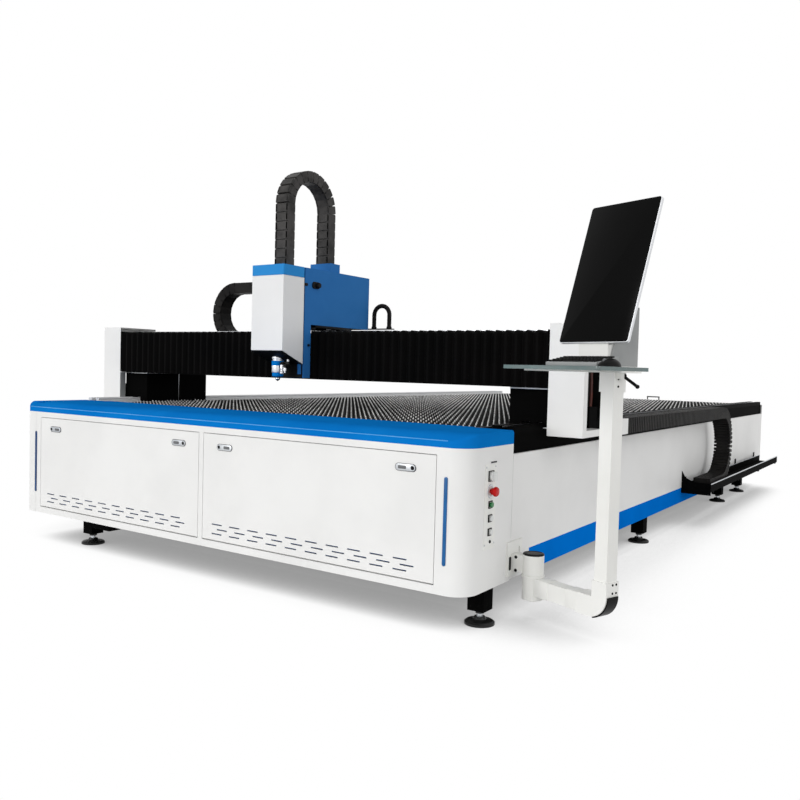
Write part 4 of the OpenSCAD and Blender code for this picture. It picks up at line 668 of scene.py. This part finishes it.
# %% [markdown]
# The bellows are pleated cloth over the beam's rails: a front leaf, a soft fold over the edge and a top leaf. A
# grid is the natural start, since its rows become the folds and its columns the outline; moving every other row
# back makes the pleats, and Solidify gives the cloth its thickness.

# %% Bellows
FRONT, PLEAT, RISE, CLOTH = 672.0, 18.0, 10.0, 1.4
BELLOWS_LOW, BELLOWS_TOP, BELLOWS_BACK, PLEATS = 991.4, 1251.9, 934.0, 26
PLEAT_SHAPE = ((0.0, 0), (0.10, 0.04), (0.46, 0.95), (0.54, 0.95), (0.90, 0.04))
BELLOWS_CUTS = (0.03, 0.12, 0.88, 0.97)


def bellows_line(fold):
    """Outline of the cloth in Y and Z where the pleat is out (0) or in (1)."""
    y, z = FRONT + PLEAT * fold, BELLOWS_TOP - RISE * fold
    leaf = [(y, BELLOWS_LOW), (y, 1060), (y, 1130), (y, 1200), (y, z - 16)]
    return leaf + [(y + 4, z - 5), (y + 15, z), (760, z), (850, z), (BELLOWS_BACK, z)]


def bellows_part(places, folds):
    """A stretch of pleated cloth through these places along X."""
    lines = [bellows_line(fold) for fold in folds]
    cloth = bent_grid(len(places) - 1, len(lines[0]) - 1, lambda i, j: (places[i], *lines[i][j]))
    bmesh.ops.recalc_face_normals(cloth, faces=cloth.faces)
    bmesh.ops.solidify(cloth, geom=cloth.faces, thickness=CLOTH)
    return cloth


def make_bellows(side, outer, inner):
    """One bellows from the end cover to the carriage, in five lengths."""
    pitch = (inner - outer) / PLEATS
    places = [outer + (k + part) * pitch for k in range(PLEATS) for part, _ in PLEAT_SHAPE] + [inner]
    folds = [fold for _ in range(PLEATS) for _, fold in PLEAT_SHAPE] + [0]
    last = len(places) - 1
    cuts = [0] + [round(s * last) for s in BELLOWS_CUTS] + [last]
    for number, (a, b) in enumerate(zip(cuts, cuts[1:]), 1):
        name = "bellows_%s_%d" % (side, number)
        cloth = bellows_part(places[a:b + 1], folds[a:b + 1])
        piece = show(name, cloth, bellows_cloth, None, ["bellows_" + side], 20)
        ends = [(x, (x - outer) / (inner - outer)) for x in (places[a], places[b])]
        spread(piece, "gantry", "carriage", (1, 0, 0), *ends)


make_bellows("left", -1518.0, -103.5)
make_bellows("right", 1518.0, 127.5)

# %% [markdown]
# Energy chains are rows of moulded links: two side plates with rounded ends and a lid above and below, with a
# dark gap between lids. One link is built along X around the origin and stamped along a path. The runs and the
# bend of a chain are separate pieces, because the bend always travels half as far as the moving end.

# %% Chain links
LID, CORE = 8.0, 6.0


def link(bm, place, pitch, width, height, cover, stretch=1.0):
    """One chain link; X runs along the chain, Z away from the bend, where the lid is longer by stretch."""
    new = bmesh.new()
    wall, tall = 0.13 * width, height / 2
    for side in (-1, 1):
        near, far = sorted((side * (width / 2 - wall), side * width / 2))
        made = block(new, (-pitch * cover / 2, near, -tall), (pitch * cover / 2, far, tall))
        ends = {e for v in made for e in v.link_edges if abs((e.verts[0].co - e.verts[1].co).y) > wall * 0.9}
        soften(new, ends, min(0.10 * height, 0.2 * pitch))
    for side in (-1, 1):
        near, far = sorted((side * tall, side * (tall - LID)))
        half = 0.48 * cover * pitch * (stretch if side > 0 else 1.0)
        block(new, (-half, 1 - width / 2, near), (half, width / 2 - 1, far), 1.5, 1)
    inner = width / 2 - wall
    block(new, (-pitch / 2, -inner, CORE - tall), (pitch / 2, inner, tall - CORE))
    bmesh.ops.transform(new, matrix=place, verts=new.verts)
    joined = bpy.data.meshes.new("link")
    new.to_mesh(joined)
    new.free()
    bm.from_mesh(joined)
    bpy.data.meshes.remove(joined)


def chain_run(name, still, moving, lie, run, size, shares, stands_for, cuts):
    """A straight run; run is (start, end, height) along the chain's X, shares the moving body's at both ends."""
    (start, end, rise), (pitch, width, high, cover) = run, size
    axis = lie.to_3x3() @ Vector((1, 0, 0))
    home = lie.translation.dot(axis)
    count = max(1, round(abs(end - start) / pitch))
    step = (end - start) / count
    marks = [0] + [round(c * count) for c in cuts] + [count]
    for number, (a, b) in enumerate(zip(marks, marks[1:]), 1):
        bm = bmesh.new()
        for i in range(a, b):
            link(bm, lie @ Matrix.Translation((start + (i + 0.5) * step, 0, rise)), abs(step), width, high, cover)
        piece = show("%s_%d" % (name, number), bm, chain_plastic, None, [stands_for])
        ends = [(home + start + k * step, shares[0] + (shares[1] - shares[0]) * k / count) for k in (a, b)]
        spread(piece, still, moving, axis, *ends)


def chain_bend(name, lie, radius, size, stands_for):
    """The half turn at the end of a chain."""
    pitch, width, high, cover = size
    count = round(math.pi * radius / pitch)
    bm = bmesh.new()
    for i in range(count):
        turn = Matrix.Rotation(math.pi * (i + 0.5) / count, 4, "Y") @ Matrix.Translation((0, 0, radius))
        link(bm, lie @ turn, math.pi * radius / count, width, high, cover, 1 + high / 2 / radius)
    piece = show(name, bm, chain_plastic, None, [stands_for])
    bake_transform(piece)


print("a link's lid is", LID, "mm thick")

# %% Long chain
LONG, LONG_RADIUS = (30.0, 115.0, 80.0, 0.62), 246.5
long_lie = Matrix.Translation((1622, 3543, 548.5)) @ Matrix.Rotation(math.pi / 2, 4, "Z")
chain_run(
    "long_chain_top", "bed", "gantry", long_lie, (-2290, 0, LONG_RADIUS), LONG, (1.0, 0.5), "y_chain",
    (0.03, 0.08, 0.15, 0.24, 0.36, 0.55),
)
chain_bend("long_chain_bend", long_lie, LONG_RADIUS, LONG, "y_chain")
chain_run(
    "long_chain_low", "bed", "gantry", long_lie, (0, -378, -LONG_RADIUS), (27.0, *LONG[1:]), (0.5, 0.0), "y_chain",
    (0.4, 0.7, 0.9),
)

# %% Cross chain
CROSS, CROSS_RADIUS = (50.0, 100.0, 66.0, 1.0), 161
cross_lie = Matrix.Translation((-845, 1080, 1392)) @ Matrix.Rotation(math.pi, 4, "Z")
chain_run(
    "cross_chain_top", "gantry", "carriage", cross_lie, (-744.5, 0, CROSS_RADIUS), CROSS, (1.0, 0.5), "x_chain",
    (0.1, 0.3),
)
chain_bend("cross_chain_bend", cross_lie, CROSS_RADIUS, CROSS, "x_chain")
chain_run(
    "cross_chain_low", "gantry", "carriage", cross_lie, (0, -905, -CROSS_RADIUS), CROSS, (0.5, 0.0), "x_chain",
    (0.4, 0.8),
)

# %% [markdown]
# The lifting chain stands up as a loop between the carriage and the head, and the head only moves a little. So
# the whole loop is one piece, two upright legs and a half turn.

# %% Lifting chain
LIFT_PITCH, *LIFT = 46.0, 88.0, 60.0, 1.0
LIFT_X, LIFT_MIDDLE, LIFT_RADIUS, LIFT_TURN = 12.0, 734.0, 174.0, 1934.0
stand = Matrix.Rotation(-math.pi / 2, 4, "Y") @ Matrix.Rotation(-math.pi / 2, 4, "X")
lift = bmesh.new()
for base, leg_y, facing in ((1591.0, 560.0, 0.0), (1647.0, 908.0, math.pi)):
    count = round((LIFT_TURN - base) / LIFT_PITCH)
    step = (LIFT_TURN - base) / count
    for i in range(count):
        seat = Matrix.Translation((LIFT_X, leg_y, base + (i + 0.5) * step))
        link(lift, seat @ Matrix.Rotation(facing, 4, "Z") @ stand, step, *LIFT)
count = round(math.pi * LIFT_RADIUS / LIFT_PITCH)
for i in range(count):
    seat = Matrix.Translation((LIFT_X, LIFT_MIDDLE, LIFT_TURN))
    seat = seat @ Matrix.Rotation(-math.pi * (i + 0.5) / count, 4, "X") @ Matrix.Translation((0, -LIFT_RADIUS, 0))
    link(lift, seat @ stand, math.pi * LIFT_RADIUS / count, *LIFT, 1.17)
# The lighter plastic paints the light on the upright chain.
lift_chain = show("lift_chain", lift, lit_chain_plastic, None, ["z_chain"])
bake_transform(lift_chain)

# %% [markdown]
# The doors carry the small hardware that the eye looks for on sheet metal. A slab helper makes it all: a box
# whose upright corners are bevelled by a large radius and whose rims by a small one, so the same few lines give a
# capsule latch, a light bar or the casing of a screen. Each latch sits on a dark gasket, with a ring round its
# lock barrel.


# %% Door hardware
def slab(bm, low, high, axis, corner, edge=0.0, steps=5):
    """A flat plate with rounded corners seen along one axis (0, 1 or 2) and softened rims."""
    old = set(bm.edges)
    made = block(bm, low, high)
    span = 0.9 * (high[axis] - low[axis])
    along = {e for v in made for e in v.link_edges if abs((e.verts[0].co - e.verts[1].co)[axis]) > span}
    soften(bm, along, corner, steps)
    if edge:
        rims = [e for e in bm.edges if e not in old and len(e.link_faces) == 2 and e.calc_face_angle() > 1.2]
        soften(bm, rims, edge)


LATCHES = {"left": ((-1207, -1242.5), (-163, -127.5)), "right": ((163, 127.5), (1207, 1242.5))}
LATCH_Z = 656.0
BARREL_RING = [(8.6, 0), (12.5, 0), (12.5, 3.0), (11.5, 4.6), (9.4, 4.6), (8.6, 3.6), (8.6, 0)]
for side, places in LATCHES.items():
    gasket, plate, grip = bmesh.new(), bmesh.new(), bmesh.new()
    for middle, barrel in places:
        slab(gasket, (middle - 51.5, -2.5, LATCH_Z - 16), (middle + 51.5, -0.4, LATCH_Z + 16), 1, 15.9, 0.6)
        slab(plate, (middle - 49, -3.4, LATCH_Z - 14), (middle + 49, -2.0, LATCH_Z + 14), 1, 13.9, 0.6)
        turned(plate, BARREL_RING, (barrel, -1.0, LATCH_Z), (0, -1, 0), 28)
        inward = middle + (middle - barrel) * 0.45
        slab(grip, (inward - 20, -4.4, LATCH_Z - 7), (inward + 20, -3.0, LATCH_Z + 7), 1, 5, 0.5)
    show("latch_gaskets_" + side, gasket, motor_grey, "panel_" + side)
    show("latch_plates_" + side, plate, zinc, "panel_" + side)
    show("latch_grips_" + side, grip, grey_plastic, "panel_" + side)

# %% [markdown]
# Blue shows through the three rows of louvres at the foot of each door, from a filter backing. It is one thin
# strip per slit, set just behind the face, because a full sheet would be seen from behind when the door tilts
# open. Two slim light bars stand outside the doors.

# %% Louvre backing and light bars
SLITS, SLIT_STEP, ROW_STEP, ROW_SHIFT = 10, 119, 23, 35
for side, door_left in (("left", -1352.0), ("right", 18.0)):
    backing = bmesh.new()
    for row in range(3):
        z = 231 + ROW_STEP * row
        for i in range(SLITS):
            x = door_left + 66 + SLIT_STEP * i + (ROW_SHIFT if row == 1 else 0)
            slab(backing, (x + 0.4, 0.5, z + 0.3), (x + 67.6, 1.8, z + 5.7), 1, 2.0, 0.0, 2)
    show("louvre_backing_" + side, backing, navy_lens, "panel_" + side)
for side, x, bar_lens in (("left", -1400.0, navy_lens), ("right", 1400.0, steel_lens)):
    bar = bmesh.new()
    slab(bar, (x - 8, -3.5, 279), (x + 8, 0.6, 635), 1, 7.9, 1.2, 6)
    show("light_bar_" + side, bar, bar_lens, "bed")

# %% [markdown]
# The controls sit in square black bezels on their plate. A spin with only four steps makes a square ring, which
# is turned by an eighth so that its sides stand upright. A collar, four screws, a small lens and a blank strip
# finish the plate.

# %% Control plate
PLATE_X, PLATE_Y = 1501.8, 185
RIGHTWARD = (1, 0, 0)


def square_ring(bm, inner, outer, depth, centre):
    """A square frame facing right, with softened corners."""
    old = set(bm.verts)
    section = [(inner, 0), (outer, 0), (outer, depth - 1), (outer - 1, depth), (inner, depth), (inner, 0)]
    turned(bm, [(math.sqrt(2) * r, h) for r, h in section], (0, 0, 0), RIGHTWARD, 4)
    made = [v for v in bm.verts if v not in old]
    bmesh.ops.rotate(bm, cent=(0, 0, 0), matrix=Matrix.Rotation(math.pi / 4, 3, "X"), verts=made)
    bmesh.ops.translate(bm, vec=centre, verts=made)


bezels = bmesh.new()
for z, inner, outer in ((631, 19.4, 22.0), (514, 11.6, 15.5), (458, 11.6, 15.5), (402, 11.6, 15.5)):
    square_ring(bezels, inner, outer, 4.5, (PLATE_X, PLATE_Y, z))
show("control_bezels", bezels, black_plastic, "bed")
collar = bmesh.new()
stop_ring = [(20.6, 0), (29, 0), (29, 1.5), (27.5, 3.0), (22, 3.0), (20.6, 2.2), (20.6, 0)]
turned(collar, stop_ring, (PLATE_X, PLATE_Y, 569), RIGHTWARD, 36)
for z in (352.0, 668.0):
    for y in (145.0, 225.0):
        turned(collar, [(0, 0), (4, 0), (4, 1.2), (3, 2.4), (0, 2.6)], (PLATE_X, y, z), RIGHTWARD, 16)
show("control_collars", collar, zinc, "bed")
signal = bmesh.new()
turned(signal, [(0, 0), (7, 0), (7, 2), (5, 4.5), (2.5, 5.6), (0, 6)], (PLATE_X, 190, 361), RIGHTWARD, 24)
slab(signal, (1499.5, 186, 683), (1502.5, 234, 689), 0, 2.5, 0.6, 3)
show("control_signal", signal, motor_grey, "bed")

# %% [markdown]
# The operator's desk hangs on a swinging arm that stands turned out by 20 degrees, so its pieces are drawn square
# and laid in place by one matrix. The screen is a slim panel: black glass in a pale metal frame, with a plain
# housing behind it that meets the stand.

# %% Screen
KNUCKLE = (1600, 410, 0)
DESK = Matrix.Translation(KNUCKLE) @ Matrix.Rotation(math.radians(-20), 4, "Z")
LEAN = DESK @ Matrix.Translation((385, -128, 1183)) @ Matrix.Rotation(math.radians(-17.2), 4, "X")
casing = bmesh.new()
slab(casing, (-162.5, 1.2, -9), (165.5, 15, 560), 1, 12, 1.2, 6)
show("screen_frame", casing, frame_silver, "console", ["monitor"], place=LEAN)
glass = bmesh.new()
slab(glass, (-160.5, 0.0, -6.5), (163.5, 3.0, 558.5), 1, 10.5, 0.5, 6)
show("screen_glass", glass, screen_glass, "console", ["monitor"], place=LEAN)
housing = bmesh.new()
slab(housing, (-128, 14, 14), (128, 42, 470), 1, 26, 9.0, 6)
for k in range(9):
    slab(housing, (-70, 41.4, 330 + 12 * k), (70, 43.0, 335 + 12 * k), 1, 2.4, 0.4, 3)
show("screen_housing", housing, grey_plastic, "console", ["monitor"], place=LEAN)

# %% [markdown]
# The keyboard is a low wedge with rows of separate keys, each a small bevelled box: there are nearly seventy, so
# they stay simple. The mouse is a sphere that is stretched, cut flat by a plane and given a wheel.

# %% Keyboard
KEY_STEP, ROW_DEPTH, SLOPE = 16.6, 19.5, 0.2
wedge = boxes(((275, -255, 1084), (520, -135, 1098)))
rear = [v for v in wedge.verts if v.co.y > -150 and v.co.z > 1095]
bmesh.ops.translate(wedge, vec=(0, 0, 24), verts=rear)
soften(wedge, wedge.edges, 3.0, 3)
show("keyboard_body", wedge, grey_and_shade_coat, "console", ["keyboard"], place=DESK)
keys = bmesh.new()
for row in range(5):
    for column in range(14):
        if row == 0 and 4 <= column <= 8:
            continue
        x, y = 283 + KEY_STEP * column + (2.0 * row if column else 0) % 5, -247 + ROW_DEPTH * row
        z = 1096 + SLOPE * (y + 255)
        block(keys, (x, y, z), (x + 14.2, y + 16.5, z + 9.5), 1.6, 1)
block(keys, (351, -247, 1098), (431, -230.5, 1105), 1.6, 1)
show("keyboard_keys", keys, black_plastic, "console", ["keyboard"], place=DESK)

# %% Mouse
MOUSE_HALF = (32, 49.5, 30)
mouse = bmesh.new()
bmesh.ops.create_uvsphere(mouse, u_segments=36, v_segments=24, radius=1.0)
bmesh.ops.scale(mouse, vec=MOUSE_HALF, verts=mouse.verts)
cut = bmesh.ops.bisect_plane(
    mouse, geom=whole(mouse), plane_co=(0, 0, 0.2), plane_no=(0, 0, 1), clear_inner=True
)["geom_cut"]
bmesh.ops.contextual_create(mouse, geom=only(EDGE, cut))
for v in mouse.verts:
    v.co.z *= 1.0 - 0.16 * max(0.0, -v.co.y / MOUSE_HALF[1])
bmesh.ops.translate(mouse, vec=(562, -235, 1084), verts=mouse.verts)
show("mouse_shell", mouse, black_plastic, "console", ["mouse"], place=DESK)
wheel = bmesh.new()
turned(wheel, [(0, -3), (8, -3), (9.5, -1.5), (9.5, 1.5), (8, 3), (0, 3)], (562, -262, 1103.0), RIGHTWARD, 24)
show("mouse_wheel", wheel, grey_plastic, "console", ["mouse"], place=DESK)

# %% [markdown]
# The stand's right side lies in shade, and a darker grey sheet, bent like the gusset behind it, paints that shade on
# it.
# Its outline has five corners, so one face is drawn through them and extruded by the sheet's thickness.

# %% Stand side shade sheet
sheet = bmesh.new()
gusset = [(-112, 1088), (55, 1088), (55, 1311), (-43, 1311), (-88, 1166)]
cut_sheet(sheet, [(454.2, y, z) for y, z in gusset], (1.6, 0, 0))
soften(sheet, sheet.edges, 0.5)
show("stand_shade_sheet", sheet, grey_and_shade_coat, "console", place=DESK)

# %% [markdown]
# Caps, sleeves and screws close the swinging arm: a black cap on the top knuckle, black screws on the elbow and
# the collar, and a slotted plate on the cabinet. The round ones are lathe parts, which look better than plain
# discs in a close view.


# %% Arm fittings
def screw(bm, centre, axis, radius):
    """A low button head with a hollow in the middle."""
    hollow, rim = 0.45 * radius, 0.85 * radius
    section = [(0, 1.0), (hollow, 1.0), (0.5 * radius, 2.4), (rim, 2.0), (radius, 0.8), (radius, -0.6)]
    turned(bm, section, centre, axis, 20)


knuckle = bmesh.new()
cap_section = [(0, 283.5), (45, 283.5), (45.5, 286), (44, 289.5), (38, 291.5), (36, 290), (0, 290)]
turned(knuckle, cap_section, KNUCKLE, sides=48)
show("knuckle_cap", knuckle, black_plastic, "bed")
sleeve = bmesh.new()
turned(sleeve, [(45.1, 188), (48, 189), (48, 199), (45.1, 200)], KNUCKLE, sides=48)
show("knuckle_seal", sleeve, warm_coat, "console")
plate_marks = bmesh.new()
slab(plate_marks, (1507.6, 363, 208), (1509.0, 382, 266), 0, 5.9)
for z in (210.0, 267.0):
    screw(plate_marks, (1530.0, 384.2, z), (0, -1, 0), 7.0)
show("bracket_screws", plate_marks, black_plastic, "bed")
arm_sleeves = boxes(
    ((42, -32.5, 117.5), (112, 32.5, 192.5)), ((212, -32.5, 117.5), (286, 32.5, 192.5)), edge=2.0
)
show("arm_sleeves", arm_sleeves, warm_coat, "console", place=DESK)
elbow_screws = bmesh.new()
for y in (0.0, 21.0):
    for z in (217.5, 250.0):
        screw(elbow_screws, (421.0, y, z), RIGHTWARD, 4.5)
for z in (1011.5, 1040.5):
    screw(elbow_screws, (420.0, -9.5, z), RIGHTWARD, 4.5)
show("arm_screws", elbow_screws, black_plastic, "console", place=DESK)

# %% [markdown]
# The cutting head is turned alloy: a clamp ring, a smooth barrel with two blue rings and a nozzle on a ball. Each
# band of another finish is a piece of its own, spun from its own outline. Beside it are the black bracket and the
# two small cylinders of the height sensor and the gas fitting.

# %% Head barrel
HEAD_X, HEAD_Y = 4.0, 535.0
AXIS, BOLT_CIRCLE, BOLTS = (HEAD_X, HEAD_Y, 0.0), 27, 6
barrel = bmesh.new()
turned(barrel, [
    (0, 1245), (22, 1245), (22, 1160), (31, 1156), (33, 1150), (33, 1128), (31.5, 1126), (31.5, 1119),
    (33, 1117), (33, 1094), (30, 1090), (30, 1084), (33, 1082), (0, 1082),
], AXIS, sides=48)
turned(barrel, [(0, 1057), (33, 1057), (33.6, 1054), (33.6, 1022), (32, 1018), (0, 1018)], AXIS, sides=48)
for k in range(BOLTS):
    turn = math.tau * (k + 0.35) / BOLTS
    x, y = HEAD_X + BOLT_CIRCLE * math.cos(turn), HEAD_Y + BOLT_CIRCLE * math.sin(turn)
    rod(barrel, (x, y, 1088), (x, y, 1096), 3.6, sides=10)
show("head_barrel", barrel, alloy, "z_head", ["cutting_head"])

# %% Head bands and nozzle
bands = bmesh.new()
turned(bands, [(0, 1082), (33.2, 1082), (34, 1080), (34, 1059), (33.2, 1057), (0, 1057)], AXIS, sides=48)
turned(bands, [(0, 1018), (29, 1018), (30, 1016), (30, 1001), (27, 998), (0, 998)], AXIS, sides=48)
show("head_bands", bands, blue_coat, "z_head", ["cutting_head"])
nozzle = bmesh.new()
turned(nozzle, [
    (0, 998), (15, 998), (16, 996), (14, 992), (12.5, 990), (13.5, 986.5), (13, 983), (10.5, 979.5),
    (7, 977.5), (4.5, 975), (3, 973.2), (0, 973.2),
], AXIS)
show("head_nozzle", nozzle, chrome, "z_head", ["cutting_head"])

# %% Head bracket, fittings and shutter
SHUTTER_RUN, SHUTTER_FALL = 161, 66
bracket = boxes(
    ((42, 518, 1040), (98, 526, 1078)), ((84, 492, 1046), (98, 526, 1066)), ((32, 512, 1044), (50, 526, 1056)),
    edge=2.0,
)
rod(bracket, (58, 508, 1062), (58, 508, 1074), 12, sides=6)
show("head_bracket", bracket, black_plastic, "z_head")
fittings = bmesh.new()
turned(fittings, [
    (0, 1062), (9, 1062), (10, 1060), (10, 1040), (8, 1038), (8, 1026), (10, 1024), (10, 1016), (7, 1012), (0, 1012),
], (58, 508, 0), sides=28)
turned(fittings, [
    (0, 1050), (8, 1050), (8.5, 1048), (8.5, 1030), (6, 1027), (6, 1020), (0, 1018),
], (84, 503, 0), sides=28)
show("head_fittings", fittings, alloy, "z_head")
half = math.hypot(SHUTTER_RUN, SHUTTER_FALL) / 2
shutter = boxes(((-110.5, -half, -1.5), (110.5, half, 1.5)), edge=1.0)
tilt = Matrix.Rotation(math.atan2(-SHUTTER_FALL, SHUTTER_RUN), 4, "X")
tilt = Matrix.Translation((12, 515.5, 1100.5)) @ tilt
show("head_shutter", shutter, black_plastic, "z_head", place=tilt)

# %% [markdown]
# The carriage closes onto the bellows with black seals: a frame at each bellows end and skirts under the box,
# which keep the dust and the daylight out. A latch with its bolt holds the box's side door.

# %% Carriage seals and latch
seals = bmesh.new()
for x0, x1 in ((-103.2, -100.8), (124.8, 127.2)):
    block(seals, (x0, 664, 991), (x1, 690, 1253))
    block(seals, (x0, 690, 1236), (x1, 935, 1253))
for x0, x1 in ((-98.0, -94.0), (118.0, 122.0)):
    block(seals, (x0, 662, 1270), (x1, 1024, 1286), 0.6)
    block(seals, (x0, 662, 1254), (x1, 704, 1286), 0.6)
block(seals, (-96, 985, 1250), (120, 1022, 1286), 1.0)
block(seals, (-100, 603.9, 993.5), (118, 605.8, 1137))
show("carriage_seals", seals, black_plastic, "carriage")
end_frames = bmesh.new()
for x in (-1519.0, 1519.0):
    block(end_frames, (x - 1.2, 668, 990.6), (x + 1.2, 692, 1254))
    block(end_frames, (x - 1.2, 692, 1238.4), (x + 1.2, 936, 1254))
show("bellows_end_frames", end_frames, black_coat, "gantry")
box_latch = bmesh.new()
slab(box_latch, (124.2, 662, 1483), (132, 722, 1521), 0, 14, 2.5, 4)
turned(box_latch, [(0, 0), (15, 0), (16, 3), (16, 12), (13, 17), (0, 18)], (131, 702, 1502), RIGHTWARD, 28)
slab(box_latch, (124.2, 600, 1492), (128, 626, 1508), 0, 6, 1.0, 4)
turned(box_latch, [(0, 0), (7, 0), (7, 7), (5, 9), (0, 9.5)], (124.4, 640, 1172), RIGHTWARD, 20)
show("box_latch", box_latch, black_plastic, "carriage")

# %% [markdown]
# The hose over the cross beam is a stiff corrugated conduit, fixed in a bracket at both ends. A circle of edges
# is pulled up one leg, turned over the top and pulled down the other, and every other ring is made wider.


# %% Conduit loop
def ring_step(bm, edges, by, swell):
    """Carry a ring on by a matrix and scale it about its own middle."""
    made = bmesh.ops.extrude_edge_only(bm, edges=edges)["geom"]
    verts = only(VERT, made)
    bmesh.ops.transform(bm, matrix=by, verts=verts)
    middle = sum((v.co for v in verts), Vector()) / len(verts)
    bmesh.ops.scale(bm, vec=(swell,) * 3, space=Matrix.Translation(-middle), verts=verts)
    return only(EDGE, made)


def conduit(bm, left, right, y, base, shoulder, radius):
    """A corrugated loop with two upright legs."""
    foot = Matrix.Translation((left, y, base))
    start = bmesh.ops.create_circle(bm, segments=16, radius=radius, matrix=foot)["verts"]
    edges = list({e for v in start for e in v.link_edges})
    swell, ring = 1.14, 0.36 * radius
    steps = round((shoulder - base) / ring)
    rise = Matrix.Translation((0, 0, (shoulder - base) / steps))
    bends = round(math.pi * (right - left) / 2 / ring)
    about = Matrix.Translation(((left + right) / 2, y, shoulder))
    bend = about @ Matrix.Rotation(math.pi / bends, 4, "Y") @ about.inverted()
    for number, by in enumerate([rise] * steps + [bend] * bends + [rise.inverted()] * steps):
        edges = ring_step(bm, edges, by, swell if number % 2 == 0 else 1 / swell)


loop_hose = bmesh.new()
conduit(loop_hose, 153, 263, 1211, 1293, 1374, 12.0)
for x in (153, 263):
    rod(loop_hose, (x, 1211, 1288), (x, 1211, 1306), 17, 15)
block(loop_hose, (72, 1192, 1288), (289, 1231, 1294), 1.0)
show("conduit_loop", loop_hose, chain_plastic, "carriage", ["hose_loop"])

# %% [markdown]
# The right end cover is open towards the operator, and its cables show: a loom of round leads that runs up from
# the drive. They are fixed at both ends inside the cover, so they are plain rods joined end to end along a bowed
# line. A dark lining closes the cover behind them, and a strip closes the left cover.

# %% Cover leads and lining
LEAD_THICK, LEAD_BOW = (9.0, 7.0, 8.0, 6.0, 9.0, 7.0, 8.0), (12, -8, 10, -12, 6, -6, 9)
BROWN, LEAD_TOP, LEAD_PARTS = (1, 3, 6), 1224, 6
black_leads, brown_leads = bmesh.new(), bmesh.new()
for number, (thick, bow) in enumerate(zip(LEAD_THICK, LEAD_BOW)):
    x, y = 1630 + 6 * (number % 3), 730 + 30 * number
    foot = 912 if 766 < y < 864 else 806
    points = []
    for k in range(LEAD_PARTS + 1):
        turn = math.pi * k / LEAD_PARTS
        rise = (LEAD_TOP - foot) / LEAD_PARTS * k
        points.append((x + bow * math.sin(turn), y + 0.6 * bow * math.sin(2 * turn), foot + rise))
    for a, b in zip(points, points[1:]):
        rod(brown_leads if number in BROWN else black_leads, a, b, thick, sides=14)
show("cover_leads_black", black_leads, black_plastic, "gantry", angle=60)
show("cover_leads_brown", brown_leads, wire_brown, "gantry", angle=60)
liner = boxes(((1528, 690, 912), (1534, 944, 1262)), ((1528, 936, 800), (1676, 944, 1262)), edge=1.5)
show("cover_liner", liner, black_plastic, "gantry")
closer = boxes(((-1528.4, 673, 801), (-1526.4, 716, 986)), edge=0.5, steps=1)
show("cover_closer", closer, grey_and_shade_coat, "gantry")

# %% [markdown]
# Thin bright lines finish the long edges: zinc strips round the gantry's feet, ground tracks beside the rails and
# rolled rims on the chain's tray. They are slim bevelled boxes, since only their highlight is seen.

# %% Strips, tracks and rims
strips = boxes(
    ((-1527.5, 716.5, 982), (-1310.5, 719.7, 986.5)),
    ((-1312.7, 717, 982), (-1309.7, 984, 986.5)),
    ((-1312.7, 981, 800), (-1309.7, 984.5, 986)),
    ((1313, 716.5, 979), (1526, 719.7, 986)),
    ((1313, 716.5, 798.5), (1526, 719.7, 804.5)),
    edge=0.8,
)
show("foot_strips", strips, zinc, "gantry")
track = boxes(
    ((1417.2, 440, 812), (1418.6, 5980, 821)), ((-1418.6, 440, 812), (-1417.2, 5980, 821)), edge=0.4, steps=1
)
show("rail_tracks", track, rail_steel, "bed")
rims = boxes(
    ((1696.5, 3112, 308), (1700.6, 5758, 315.6)), ((1539.4, 3112, 310), (1543.5, 5758, 315.6)), edge=0.8, steps=1
)
show("tray_rims", rims, zinc, "bed")

# %% [markdown]
# The cabinet meets the bed in a dark seal on each side. Below, a black plate widens the left front leg, and every
# levelling foot shows a zinc nut and a length of its stud.

# %% Seals and feet
seam = boxes(((1480, 390.1, 166), (1498.6, 391.9, 748)), ((-1498.6, 390.1, 166), (-1480, 391.9, 748)))
show("cabinet_seal", seam, black_plastic, "bed")
foot_plate = boxes(((-1000, 99, 98), (-846, 176, 159.8)), ((-848, 99, 122), (-776, 176, 159.8)), edge=2.0)
show("foot_plate", foot_plate, black_coat, "bed")
STUD = [(0, 24), (15, 24), (16, 26), (16, 33), (12.6, 34), (12.6, 58), (0, 58)]
studs = bmesh.new()
for x, y in ((1443, 235), (-1040, 137), *((x, y) for y in (2352, 4488, 5255) for x in (1443, -1443))):
    turned(studs, STUD, (x, y, 0), sides=24)
show("foot_studs", studs, zinc, "bed")
